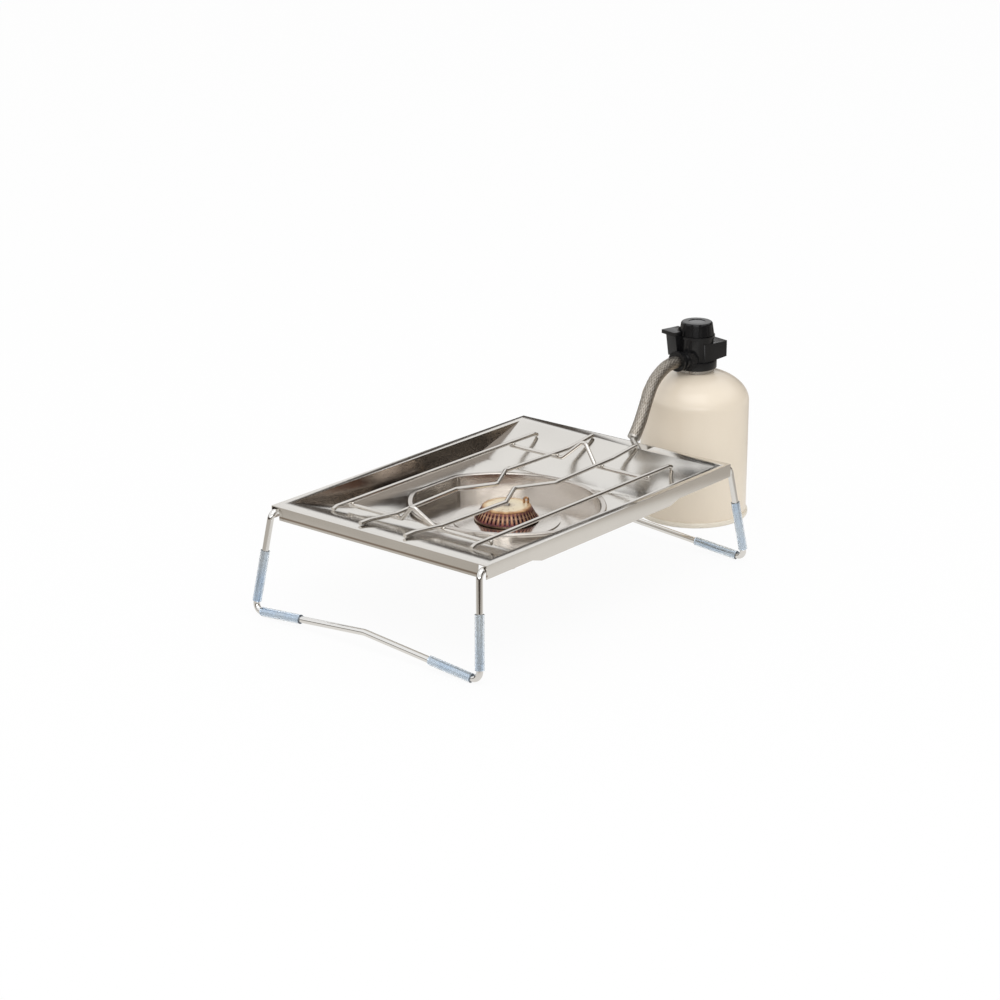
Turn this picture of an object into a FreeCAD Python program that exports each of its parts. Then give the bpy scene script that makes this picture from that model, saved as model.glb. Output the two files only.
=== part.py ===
import FreeCAD, Part
import math
import os
from types import SimpleNamespace

import Sketcher
from FreeCAD import Placement, Rotation, Vector

# A folding plate stove: a pressed steel tray on two wire legs, a burner sunk in the tray, a wire grate,
# and a valve on a gas canister that feeds the burner through a short braided hose.
# The long side of the tray lies along X, up is +Z, and the stove and the canister stand on Z = 0.
# The origin is under the middle of the whole object. Lengths are millimetres.

SIZES = [
    ("overlap", 0.5, "how far joined solids reach into each other"),
    ("cut_over", 1.0, "how far a cutting solid stands past what it cuts"),
    ("plate_length", 360.0, "tray, end to end"),
    ("plate_width", 250.0, "tray, side to side"),
    ("plate_top", 100.4, "height of the tray's rim over the ground"),
    ("sheet_gauge", 0.8, "sheet that the tray and the basin are pressed from"),
    ("skirt_depth", 12.4, "turned-down edge all round"),
    ("channel_width", 8.6, "rolled long edge, outside"),
    ("flange_width", 17.0, "flat end flange"),
    ("slope_run", 68.0, "slanted end of the tray, along X"),
    ("tray_depth", 20.0, "rim down to the tray's floor"),
    ("mouth_width", 10.0, "open end of the rolled edge, where a leg comes out"),
    ("basin_arc_radius", 95.0, "rounded ends of the basin"),
    ("basin_arc_shift", 9.35, "how far each round end's centre lies past the middle"),
    ("basin_side_cut", 8.7, "straight sides of the basin, in from its round ends"),
    ("basin_corner", 12.0, "where a straight side meets a round end"),
    ("bead_width", 5.5, "rolled rim of the basin"),
    ("bead_height", 3.0, "rolled rim over the tray's floor"),
    ("bead_round", 1.3, "rounding of the rolled rim"),
    ("basin_depth", 14.4, "tray's floor down to the basin's floor"),
    ("basin_seat_gap", 0.2, "play between the basin's wall and its opening"),
    ("step_radius", 50.0, "raised round step under the burner"),
    ("step_height", 1.0, "rise of that step"),
    ("slot_inset", 2.0, "hose slot in the far flange, in from the tray's end"),
    ("slot_run", 13.6, "hose slot, along X"),
    ("slot_left", -18.5, "hose slot, left edge in Y"),
    ("slot_right", -37.5, "hose slot, right edge in Y"),
    ("leg_wire", 6.0, "leg wire diameter"),
    ("hinge_inset", 30.0, "leg hinge, in from the tray's end"),
    ("hinge_drop", 8.6, "leg hinge, down from the rim"),
    ("hinge_tail", 21.2, "inward end of the leg wire, that turns in its bracket"),
    ("knee_radius", 6.0, "bend at the hinge"),
    ("mouth_reach", 4.2, "bend outside the rolled edge, past the tray's end"),
    ("mouth_drop", 4.1, "that bend, down from the rim"),
    ("mouth_radius", 7.0, "that bend"),
    ("foot_reach", 17.6, "foot bar, past the tray's end"),
    ("foot_spread", 6.9, "foot corner, past the tray's side"),
    ("foot_radius", 7.0, "bend at the foot corner"),
    ("foot_rise", 11.0, "middle of the foot bar over its ends"),
    ("foot_kink_radius", 24.0, "bend at the middle of the foot bar"),
    ("sleeve_diameter", 8.4, "clear sleeve, outside"),
    ("sleeve_play", 0.05, "clear sleeve round the wire"),
    ("post_sleeve_low", 12.8, "upright sleeve, lower end over the ground"),
    ("post_sleeve_length", 48.0, "upright sleeve"),
    ("foot_sleeve_start", 9.0, "foot sleeve, in from the corner"),
    ("foot_sleeve_length", 47.0, "foot sleeve"),
    ("bracket_width", 10.0, "hinge bracket, along its pin"),
    ("bracket_wall", 1.6, "hinge bracket round the wire"),
    ("bracket_base", 15.0, "hinge bracket where it is welded on"),
    ("bracket_inset", 1.0, "hinge bracket, in from the end of the wire"),
    ("pin_play", 0.05, "leg wire in its bracket, all round"),
    ("grate_wire", 4.0, "grate wire diameter"),
    ("grate_half_width", 80.8, "outer grate wires"),
    ("grate_seat_gap", 0.3, "grate over the tray, in the air"),
    ("weld_sink", 0.15, "how far crossing grate wires melt into each other"),
    ("grate_level", 99.0, "centre of the long grate wires"),
    ("outer_near_inset", 16.0, "outer grate wires, near tip, in from the flange"),
    ("outer_far_inset", 17.0, "outer grate wires, far tip, in from the flange"),
    ("outer_tip_run", 5.0, "bent-down tip of an outer grate wire"),
    ("inner_near_inset", 9.0, "inner grate wires, near end, in from the tray's end"),
    ("inner_far_inset", 15.8, "inner grate wires, far end, in from the tray's end"),
    ("inner_half_gap", 26.0, "inner grate wires at their ends"),
    ("inner_half_bulge", 29.5, "inner grate wires beside the burner"),
    ("inner_rest_run", 3.0, "flat end of an inner wire, past the flange"),
    ("inner_lift_run", 35.0, "sloping part of an inner wire"),
    ("vee_half_span", 36.0, "bend of an inner wire toward the burner"),
    ("vee_reach", 10.0, "tip of that bend, from the middle"),
    ("vee_shift", -1.0, "middle of that bend"),
    ("cross_near_reach", 27.0, "near cross wire, past the tray's floor"),
    ("cross_far_reach", 13.0, "far cross wire, past the tray's floor"),
    ("peak_half_width", 20.0, "raised peak of a cross wire"),
    ("peak_height", 18.6, "that peak over its wire"),
    ("peak_lean", 9.0, "how far that peak leans to its own end"),
    ("grate_bend", 5.0, "usual bend of a grate wire"),
    ("burner_hole_radius", 24.5, "hole in the basin"),
    ("burner_cup_radius", 24.0, "burner cup through that hole"),
    ("burner_wall", 2.0, "burner casting"),
    ("burner_flange_radius", 26.5, "burner flange on the basin"),
    ("burner_flange_height", 0.8, "burner flange"),
    ("cup_depth", 17.0, "burner cup under its flange"),
    ("cup_slant", 6.0, "slanted foot of the cup"),
    ("mixing_tube_radius", 10.0, "mixing tube, outside"),
    ("mixing_tube_wall", 1.6, "mixing tube"),
    ("mixing_tube_length", 18.0, "mixing tube under the cup"),
    ("ring_radius", 30.0, "burner's base ring"),
    ("ring_height", 1.0, "burner's base ring"),
    ("cap_foot_radius", 29.0, "slotted cone, lower edge"),
    ("cap_head_radius", 23.2, "slotted cone, upper edge"),
    ("cap_height", 10.0, "slotted cone"),
    ("cap_wall", 1.2, "slotted cone"),
    ("cap_slots", 40.0, "flame slots in one row"),
    ("slot_width", 1.5, "flame slot"),
    ("lower_slot_height", 4.4, "flame slots, lower row"),
    ("upper_slot_height", 2.2, "flame slots, upper row"),
    ("slot_taper", 0.3, "share by which a slot narrows up to the top of the cone"),
    ("slot_start", 1.0, "lower row over the cone's foot"),
    ("slot_row_gap", 0.9, "between the two rows"),
    ("cap_top_radius", 22.8, "disc on the cone"),
    ("cap_top_height", 1.6, "disc on the cone"),
    ("cap_top_slant", 1.1, "sloping edge of that disc"),
    ("cap_screw_radius", 3.4, "screw head in the middle of the disc"),
    ("cap_screw_height", 1.6, "that screw head"),
    ("cap_bolt_radius", 2.0, "shank of that screw"),
    ("cap_bolt_end", 2.0, "that shank, under the bridge"),
    ("cap_screw_slot", 0.8, "slot across the screw head"),
    ("bridge_width", 8.0, "bridge that the screw holds on to"),
    ("clip_wire", 2.0, "wire loop beside the cone"),
    ("clip_near_angle", -30.0, "inner foot of the loop, round from +X"),
    ("clip_far_angle", -36.0, "outer foot of the loop, round from +X"),
    ("clip_near_radius", 17.2, "inner foot, from the burner's axis"),
    ("clip_far_radius", 20.6, "outer foot, from the burner's axis"),
    ("clip_height", 5.2, "loop over the disc"),
    ("clip_bend", 1.9, "bends of the loop"),
    ("gauze_height", 0.8, "gauze disc in the cup"),
    ("gauze_level", 6.0, "gauze disc under the cup's top"),
    ("shutter_height", 8.0, "air ring on the mixing tube"),
    ("shutter_wall", 1.2, "air ring"),
    ("shutter_lift", 2.0, "air ring over the tube's end"),
    ("air_window_width", 7.0, "air windows"),
    ("air_window_height", 4.0, "air windows"),
    ("holder_height", 12.0, "jet holder under the mixing tube"),
    ("holder_radius", 9.0, "jet holder"),
    ("holder_boss_radius", 4.5, "boss of the jet holder, for the gas pipe"),
    ("holder_boss_reach", 10.8, "end of that boss, from the axis"),
    ("jet_radius", 2.6, "gas jet"),
    ("jet_height", 6.0, "gas jet over its holder"),
    ("jet_bore", 0.35, "gas jet bore radius"),
    ("jet_seat_depth", 3.0, "gas jet in its holder"),
    ("jet_taper", 2.0, "tapered tip of the gas jet"),
    ("lock_ring_radius", 28.0, "ring nut that holds the cup under the basin"),
    ("lock_ring_height", 3.0, "that ring nut"),
    ("lock_ring_notch", 3.0, "notches round that ring nut"),
    ("pipe_radius", 2.0, "gas pipe, outside"),
    ("pipe_bore", 1.2, "gas pipe, inside"),
    ("pipe_clear", 0.8, "gas pipe under the basin"),
    ("pipe_bend", 6.0, "gas pipe bends"),
    ("pipe_rise_x", 34.0, "where the gas pipe rises, from the burner"),
    ("pipe_rise_run", 6.0, "how far along X the gas pipe rises"),
    ("pipe_rise_y", -8.0, "gas pipe at the top of that rise"),
    ("pipe_turn_x", 92.0, "where the gas pipe leaves the basin, from the burner"),
    ("pipe_turn_y", -24.0, "gas pipe at that turn"),
    ("pipe_drop", 15.0, "gas pipe straight under its elbow"),
    ("pipe_nut_flats", 10.0, "gas pipe nuts"),
    ("pipe_nut_length", 8.0, "gas pipe nuts"),
    ("clip_strap_length", 8.0, "strap that holds the pipe"),
    ("clip_strap_width", 12.0, "strap that holds the pipe, across"),
    ("clip_strap_gauge", 0.8, "strap that holds the pipe, sheet"),
    ("clip_strap_inset", 5.65, "strap, in from the basin's round end"),
    ("elbow_radius", 3.0, "steel elbow at the hose's lower end"),
    ("elbow_bore", 1.6, "bore of that elbow"),
    ("elbow_bend", 4.2, "bends of that elbow"),
    ("elbow_lead", 1.6, "elbow past the crimped end"),
    ("elbow_foot_inset", 9.8, "lower end of the elbow, in from the tray's end"),
    ("elbow_foot_y", -27.5, "lower end of the elbow"),
    ("elbow_foot_drop", 14.0, "lower end of the elbow, under the rim"),
    ("elbow_sway_x", 1.2, "how far the elbow leans along X"),
    ("elbow_sway_y", 2.2, "how far the elbow leans along Y"),
    ("elbow_knee_drop", 3.0, "lower bend of the elbow, under the rim"),
    ("hose_diameter", 12.5, "braided hose"),
    ("hose_bore", 6.0, "bore of the hose"),
    ("hose_bend_share", 0.45, "share of a run that one bend of the hose takes up"),
    ("end_cap_length", 2.0, "crimped end of the hose"),
    ("collar_radius", 10.2, "black collar at the valve's end of the hose"),
    ("collar_length", 4.0, "that collar"),
    ("canister_reach", 108.3, "canister axis, past the tray's end"),
    ("canister_y", -7.0, "canister axis, from the tray's middle"),
    ("canister_radius", 53.6, "canister"),
    ("canister_wall", 0.4, "canister"),
    ("canister_shoulder", 117.5, "where the canister's dome starts"),
    ("dome_height", 31.5, "dome, up to its middle if it were closed"),
    ("dome_hole_radius", 16.0, "hole in the dome, for the valve cup"),
    ("dish_height", 12.0, "hollow under the canister"),
    ("rim_width", 1.8, "seam round the canister's base, out from the canister"),
    ("rim_height", 5.0, "seam round the canister's base"),
    ("rim_round", 0.8, "worn edge of that seam, across"),
    ("rim_round_height", 1.2, "worn edge of that seam, upright"),
    ("cup_ring_radius", 18.0, "crimped ring on the dome"),
    ("cup_ring_height", 3.6, "crimped ring on the dome"),
    ("cup_seat_drop", 1.3, "seat of the cup's ring under the dome's top if it were closed"),
    ("cup_floor_depth", 2.6, "valve cup under its ring's top"),
    ("cup_gauge", 1.4, "valve cup's sheet"),
    ("cup_play", 0.1, "valve cup in the dome's hole, all round"),
    ("cup_lip", 0.8, "rounding of the cup's ring"),
    ("stub_radius", 5.5, "threaded stub of the canister"),
    ("stub_height", 10.5, "threaded stub over the cup's floor"),
    ("stub_bore", 3.0, "bore of the stub"),
    ("stem_radius", 2.0, "valve stem in the stub"),
    ("stem_gap", 0.3, "stem under the pin that opens it"),
    ("valve_turn", -13.0, "how the valve is turned on the canister"),
    ("valve_collar_radius", 20.6, "round foot of the valve"),
    ("valve_collar_bottom", 151.6, "round foot of the valve, over the ground"),
    ("valve_collar_height", 7.4, "round foot of the valve"),
    ("cup_room_play", 0.5, "hollow under the valve, round the ring of the cup"),
    ("cup_room_depth", 1.5, "that hollow"),
    ("block_top", 177.2, "top of the valve's block"),
    ("block_end", 25.7, "right end of the block, from the valve's axis"),
    ("block_half_width", 17.5, "block, across"),
    ("block_start", -9.0, "left end of the block, from the valve's axis"),
    ("block_left_chamfer", 5.2, "left corners of the block"),
    ("block_right_chamfer", 1.0, "right corners of the block"),
    ("block_end_bottom", 161.6, "underside of the block at its right end"),
    ("block_slant_start", -2.0, "where the slanted underside of the block starts"),
    ("neck_root", 19.0, "round neck, sunk in the block"),
    ("neck_radius", 17.0, "round neck under the knob"),
    ("valve_flange_radius", 18.2, "thin flange under the knob"),
    ("valve_flange_height", 2.4, "thin flange under the knob"),
    ("valve_flange_top", 184.4, "top of that flange"),
    ("port_level", 161.0, "hose port, height of its axis"),
    ("port_radius", 9.0, "hose port"),
    ("port_reach", 23.3, "hose port, from the valve's axis"),
    ("port_angle", 189.7, "hose port, round from the valve's own +X"),
    ("plug_radius", 7.2, "round plug on the valve's front"),
    ("plug_reach", 20.5, "round plug, from the valve's axis"),
    ("plug_angle", 213.0, "round plug, round from the valve's own +X"),
    ("plug_level", 162.6, "round plug, height"),
    ("plug_length", 6.0, "round plug"),
    ("arm_reach", 24.5, "side arm, from the valve's axis"),
    ("arm_foot_reach", 21.0, "side arm at its foot"),
    ("arm_bottom", 163.0, "underside of the arm"),
    ("arm_top", 186.0, "top of the arm"),
    ("arm_near", 4.0, "arm, near side"),
    ("arm_width", 14.0, "arm, across"),
    ("arm_plate_height", 3.2, "plate on the arm"),
    ("arm_plate_over", 3.0, "how far that plate stands out"),
    ("arm_root", 4.0, "arm, sunk in the block"),
    ("arm_plate_root", 6.0, "plate, from the axis"),
    ("knob_gap", 0.5, "knob over the flange"),
    ("knob_foot_radius", 17.4, "knob, lower edge"),
    ("knob_head_radius", 15.4, "knob, upper edge"),
    ("knob_height", 12.6, "knob"),
    ("knob_wall", 2.2, "knob"),
    ("knob_hub_wall", 2.5, "hub of the knob round the spindle"),
    ("knob_room", 1.0, "room round the foot of the knob"),
    ("knob_round", 2.2, "rounding of the knob's top"),
    ("knob_recess_radius", 8.2, "round recess in the knob's top"),
    ("knob_recess_depth", 1.4, "that recess"),
    ("knob_flutes", 12.0, "grooves round the knob"),
    ("flute_radius", 2.4, "grooves round the knob"),
    ("flute_depth", 0.8, "grooves round the knob"),
    ("disc_height", 0.9, "grey disc in the recess"),
    ("disc_play", 0.15, "grey disc in the recess, all round"),
    ("spindle_radius", 3.0, "spindle"),
    ("spindle_play", 0.05, "spindle in its bore, all round"),
    ("spindle_bottom", 168.0, "lower end of the spindle"),
    ("spindle_tip", 1.0, "tapered tip of the spindle"),
    ("spindle_seat_depth", 5.0, "spindle in the knob"),
    ("insert_radius", 8.5, "brass thread insert"),
    ("insert_top", 163.6, "top of that insert"),
    ("thread_play", 0.06, "canister's stub in the insert, all round"),
    ("insert_roof", 2.0, "roof of the insert, over its thread"),
    ("seal_height", 2.0, "sealing washer over the stub"),
    ("seal_play", 0.6, "sealing washer round the pin"),
    ("probe_radius", 1.2, "pin that opens the canister"),
    ("probe_length", 5.0, "that pin, under the insert's roof"),
    ("chamber_radius", 6.5, "pressure chamber in the block"),
    ("chamber_start", 12.0, "pressure chamber, from the axis"),
    ("chamber_level", 169.2, "pressure chamber, height of its axis"),
    ("chamber_cap_length", 2.0, "cap that closes it"),
    ("diaphragm_gauge", 1.0, "rubber diaphragm"),
    ("spring_radius", 5.4, "pressure spring, outside"),
    ("spring_wire", 1.1, "pressure spring wire"),
    ("spring_turns", 5.0, "pressure spring"),
]

# The hose's route from its crimped lower end to the valve, by eye. X is from the tray's far end.
HOSE_ROUTE = [
    (-8.5, -18.4, 108.6),
    (0.0, -17.8, 117.8),
    (11.0, -14.9, 129.4),
    (23.4, -10.6, 139.9),
    (37.6, -5.9, 149.7),
    (53.6, -3.2, 156.6),
    (69.0, -2.0, 161.0),
    (81.0, -2.7, 161.0),
]


class Dim:
    """A size with its number and the words from which the document works it out."""

    def __init__(self, number, words):
        self.number = number
        self.words = words

    def _join(self, other, mark, number):
        return Dim(number, "(" + self.words + " " + mark + " " + dim(other).words + ")")

    def __add__(self, other):
        return self._join(other, "+", self.number + dim(other).number)

    def __sub__(self, other):
        return self._join(other, "-", self.number - dim(other).number)

    def __mul__(self, other):
        return self._join(other, "*", self.number * dim(other).number)

    def __truediv__(self, other):
        return self._join(other, "/", self.number / dim(other).number)

    def __neg__(self):
        return Dim(-self.number, "(0 - " + self.words + ")")

    def __radd__(self, other):
        return dim(other) + self

    def __rsub__(self, other):
        return dim(other) - self

    def __rmul__(self, other):
        return dim(other) * self


def dim(thing):
    """A plain number as a Dim; a Dim stays as it is."""
    if isinstance(thing, Dim):
        return thing
    return Dim(float(thing), "(" + repr(float(thing)) + ")")


doc = FreeCAD.newDocument("PlateStove")
sheet = doc.addObject("Spreadsheet::Sheet", "Sizes")
s = SimpleNamespace()
for row, (alias, number, meaning) in enumerate(SIZES, start=1):
    sheet.set("A" + str(row), meaning)
    sheet.set("B" + str(row), str(number))
    sheet.setAlias("B" + str(row), alias)
    setattr(s, alias, Dim(number, "Sizes." + alias))
doc.recompute()


def num(thing):
    """The number of a Dim or of a plain number."""
    return dim(thing).number


# Places that several pieces share, from the tray's middle
half_length = s.plate_length / 2
half_width = s.plate_width / 2
basin_half_width = s.basin_arc_radius - s.basin_side_cut
wall_inner = half_width - s.channel_width
wall_outer = wall_inner + s.sheet_gauge
flange_start = half_length - s.flange_width
floor_end = flange_start - s.slope_run
floor_top = s.plate_top - s.tray_depth
basin_floor = floor_top - s.basin_depth
step_top = basin_floor + s.step_height
hinge_x = half_length - s.hinge_inset
hinge_z = s.plate_top - s.hinge_drop
leg_run_y = wall_outer + (s.channel_width - 2 * s.sheet_gauge) / 2
ring_bottom = step_top + s.burner_flange_height
cap_bottom = ring_bottom + s.ring_height
cap_top = cap_bottom + s.cap_height
disc_top = cap_top + s.cap_top_height
rim_radius = s.canister_radius + s.rim_width
canister_x = half_length + s.canister_reach
hose_points = [Vector(num(half_length) + x, y, z) for x, y, z in HOSE_ROUTE]
cup_bottom = step_top - s.cup_depth
tube_bottom = cup_bottom - s.mixing_tube_length
knob_bottom = s.valve_flange_top + s.knob_gap
knob_top = knob_bottom + s.knob_height

# The whole object is centred in X between the near foot's sleeves and the canister's base seam.
plate_x = (half_length + s.foot_reach + s.sleeve_diameter / 2 - canister_x - rim_radius) / 2
canister_place_x = plate_x + canister_x

nodes = []


def keep(thing, label, x=plate_x, y=0.0, turn=None):
    """Name a finished sub-part, put it in its place and list it for export."""
    if not thing.Placement.isIdentity():
        thing = group("Placed", [thing])
    thing.Label = label
    thing.Placement = Placement(Vector(num(x), num(y), 0), Rotation(Vector(0, 0, 1), num(turn or 0)))
    thing.setExpression("Placement.Base.x", dim(x).words)
    thing.setExpression("Placement.Base.y", dim(y).words)
    if turn is not None:
        thing.setExpression("Placement.Rotation.Angle", turn.words)
    nodes.append(thing)
    return thing


def feature(name, shape):
    """An object that holds a shape made with Part's own functions."""
    thing = doc.addObject("Part::Feature", name)
    thing.Shape = shape
    return thing


def bind(thing, **sizes):
    """Set properties of a primitive and tie each to its words."""
    for name, size in sizes.items():
        setattr(thing, name, num(size))
        thing.setExpression(name, dim(size).words)
    return thing


def place(thing, x=0, y=0, z=0):
    """Tie a primitive's corner or foot to its words."""
    thing.Placement = Placement(Vector(num(x), num(y), num(z)), thing.Placement.Rotation)
    for axis, size in (("x", x), ("y", y), ("z", z)):
        thing.setExpression("Placement.Base." + axis, dim(size).words)
    return thing


def box(name, x0, x1, y0, y1, z0, z1):
    """A box between two corners."""
    thing = doc.addObject("Part::Box", name)
    bind(thing, Length=dim(x1) - x0, Width=dim(y1) - y0, Height=dim(z1) - z0)
    return place(thing, x0, y0, z0)


def rod(name, radius, z0, z1, x=0, y=0):
    """An upright cylinder."""
    thing = doc.addObject("Part::Cylinder", name)
    bind(thing, Radius=radius, Height=dim(z1) - z0)
    return place(thing, x, y, z0)


def cross_rod(name, radius, start, length, direction):
    """A lying cylinder from a start point along a direction."""
    thing = doc.addObject("Part::Cylinder", name)
    bind(thing, Radius=radius, Height=length)
    thing.Placement = Placement(Vector(0, 0, 0), Rotation(Vector(0, 0, 1), direction))
    return place(thing, *start)


def cut(name, base, *tools):
    """A base with every tool taken away."""
    for tool in tools:
        result = doc.addObject("Part::Cut", name)
        result.Base = base
        result.Tool = tool
        base = result
    return base


def fuse(name, *pieces):
    """Pieces joined into one, without leftover seams."""
    result = doc.addObject("Part::MultiFuse", name)
    result.Shapes = list(pieces)
    result.Refine = True
    return result


def group(name, pieces):
    """Separate solids that share one node."""
    result = doc.addObject("Part::Compound", name)
    result.Links = list(pieces)
    return result


def draw(body, role, loops, offset=0):
    """A sketch of closed outlines, each corner tied to its words."""
    sketch = body.newObject("Sketcher::SketchObject", body.Name + "Outline")
    plane = [f for f in body.Origin.OriginFeatures if f.Role == role][0]
    sketch.AttachmentSupport = (plane, "")
    sketch.MapMode = "FlatFace"
    sketch.AttachmentOffset = Placement(Vector(0, 0, num(offset)), Rotation())
    sketch.setExpression("AttachmentOffset.Base.z", dim(offset).words)
    for loop in loops:
        first = sketch.GeometryCount
        corners = [Vector(num(x), num(y), 0) for x, y in loop]
        for index, corner in enumerate(corners):
            follower = corners[(index + 1) % len(corners)]
            sketch.addGeometry(Part.LineSegment(corner, follower), False)
        for index, corner in enumerate(loop):
            line = first + index
            following = first + (index + 1) % len(loop)
            sketch.addConstraint(Sketcher.Constraint("Coincident", line, 2, following, 1))
            for kind, axis, size in (("DistanceX", -2, corner[0]), ("DistanceY", -1, corner[1])):
                tie_corner(sketch, kind, axis, line, dim(size))
    return sketch


def tie_corner(sketch, kind, axis, line, size):
    """Tie one coordinate of a line's start to its words."""
    if abs(size.number) < 1e-9:
        sketch.addConstraint(Sketcher.Constraint("PointOnObject", line, 1, axis))
        return
    if size.number > 0:
        index = sketch.addConstraint(Sketcher.Constraint(kind, -1, 1, line, 1, size.number))
        sketch.setExpression("Constraints[" + str(index) + "]", size.words)
    else:
        index = sketch.addConstraint(Sketcher.Constraint(kind, line, 1, -1, 1, -size.number))
        sketch.setExpression("Constraints[" + str(index) + "]", (-size).words)


def new_body(name):
    """An empty body."""
    return doc.addObject("PartDesign::Body", name)


def extrude(body, kind, sketch, length, symmetric=False):
    """A pad or a pocket of a sketch."""
    step = body.newObject("PartDesign::" + kind, body.Name + kind)
    step.Profile = sketch
    bind(step, Length=length)
    if symmetric:
        step.SideType = "Symmetric"
    body.Tip = step
    return step


def pad(name, role, loops, length, offset=0, symmetric=False):
    """A body made of one pad."""
    body = new_body(name)
    extrude(body, "Pad", draw(body, role, loops, offset), length, symmetric)
    return body


def turned(name, outline):
    """A body turned about Z from its (radius, height) outline."""
    body = new_body(name)
    sketch = draw(body, "XZ_Plane", [outline])
    step = body.newObject("PartDesign::Revolution", name + "Turn")
    step.Profile = sketch
    step.ReferenceAxis = (sketch, ["V_Axis"])
    step.Angle = 360
    body.Tip = step
    return body


def ring_outline(inner, outer, bottom, top):
    """The outline of a plain ring."""
    return [(inner, bottom), (outer, bottom), (outer, top), (inner, top)]


def edges_at(shape, test):
    """Names of the edges whose middle passes a test of radius and height."""
    names = []
    for index, edge in enumerate(shape.Edges, start=1):
        middle = edge.valueAt((edge.FirstParameter + edge.LastParameter) / 2)
        if test(math.hypot(middle.x, middle.y), middle.z):
            names.append("Edge" + str(index))
    return names


def round_edges(body, radius, test):
    """Round a body's edges that pass a test."""
    doc.recompute()
    base = body.Tip
    step = body.newObject("PartDesign::Fillet", body.Name + "Round")
    step.Base = (base, edges_at(base.Shape, test))
    bind(step, Radius=radius)
    body.Tip = step


def rounded_path(points, radii):
    """A wire of straight runs joined by tangent arcs."""
    edges = []
    here = points[0]
    for before, corner, after, radius in zip(points, points[1:], points[2:], radii):
        entering = (corner - before).normalize()
        leaving = (after - corner).normalize()
        turn = entering.getAngle(leaving)
        reach = radius * math.tan(turn / 2)
        start = corner - entering * reach
        end = corner + leaving * reach
        inward = (leaving - entering).normalize()
        middle = corner + inward * (radius / math.cos(turn / 2) - radius)
        edges.append(Part.LineSegment(here, start).toShape())
        edges.append(Part.Arc(start, middle, end).toShape())
        here = end
    edges.append(Part.LineSegment(here, points[-1]).toShape())
    return Part.Wire(edges)


def tube_along(points, radii, radius, bore=0.0):
    """A round wire or tube along a path, with its volume compared with section times length."""
    path = rounded_path(points, radii)
    direction = points[1] - points[0]
    solids = []
    for size in (radius, bore):
        if size > 0:
            profile = Part.Wire([Part.makeCircle(size, points[0], direction)])
            solids.append(path.makePipeShell([profile], True, False))
    shape = solids[0]
    if bore > 0:
        shape = shape.cut(solids[1])
    expected = math.pi * (radius ** 2 - bore ** 2) * path.Length
    if abs(shape.Volume / expected - 1) > 0.002:
        raise ValueError("a swept tube has lost its form")
    return shape


def straight_tube(start, end, radius, bore):
    """A straight tube between two points."""
    direction = end - start
    outer = Part.makeCylinder(radius, direction.Length, start, direction)
    return outer.cut(Part.makeCylinder(bore, direction.Length, start, direction))


def polar(radius, degrees, z):
    """A point at a radius and an angle round the Z axis."""
    angle = math.radians(degrees)
    return Vector(radius * math.cos(angle), radius * math.sin(angle), z)


# Tray

def slope_height(x):
    """Height of the tray's upper face on its slanted end, at a distance from the middle."""
    return num(floor_top) + (abs(x) - num(floor_end)) / num(s.slope_run) * num(s.tray_depth)


def basin_outline(grow):
    """The basin's outline: straight sides, round ends and rounded corners, grown by a length."""
    half = num(basin_half_width) + grow
    radius = num(s.basin_arc_radius) + grow
    corner = num(s.basin_corner) + grow
    shift = num(s.basin_arc_shift)
    corner_y = half - corner
    corner_x = math.sqrt((radius - corner) ** 2 - corner_y ** 2) - shift
    outward = Vector(corner_x + shift, corner_y, 0).normalize()
    joint = Vector(-shift, 0, 0) + outward * radius
    diagonal = (outward + Vector(0, 1, 0)).normalize()
    bend = Vector(corner_x, corner_y, 0) + diagonal * corner
    edges = []
    for side in (1, -1):
        flip = lambda v: Vector(side * v.x, side * v.y, 0)
        low = Vector(joint.x, -joint.y, 0)
        low_bend = Vector(bend.x, -bend.y, 0)
        edges.append(Part.LineSegment(flip(Vector(-corner_x, half, 0)), flip(Vector(corner_x, half, 0))))
        edges.append(Part.Arc(flip(Vector(corner_x, half, 0)), flip(bend), flip(joint)))
        edges.append(Part.Arc(flip(joint), flip(Vector(radius - shift, 0, 0)), flip(low)))
        edges.append(Part.Arc(flip(low), flip(low_bend), flip(Vector(corner_x, -half, 0))))
    return Part.Wire([edge.toShape() for edge in edges])


def basin_block(grow, bottom, top):
    """A solid of the basin's outline between two heights."""
    face = Part.Face(basin_outline(grow))
    face.translate(Vector(0, 0, bottom))
    return face.extrude(Vector(0, 0, top - bottom))


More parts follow.
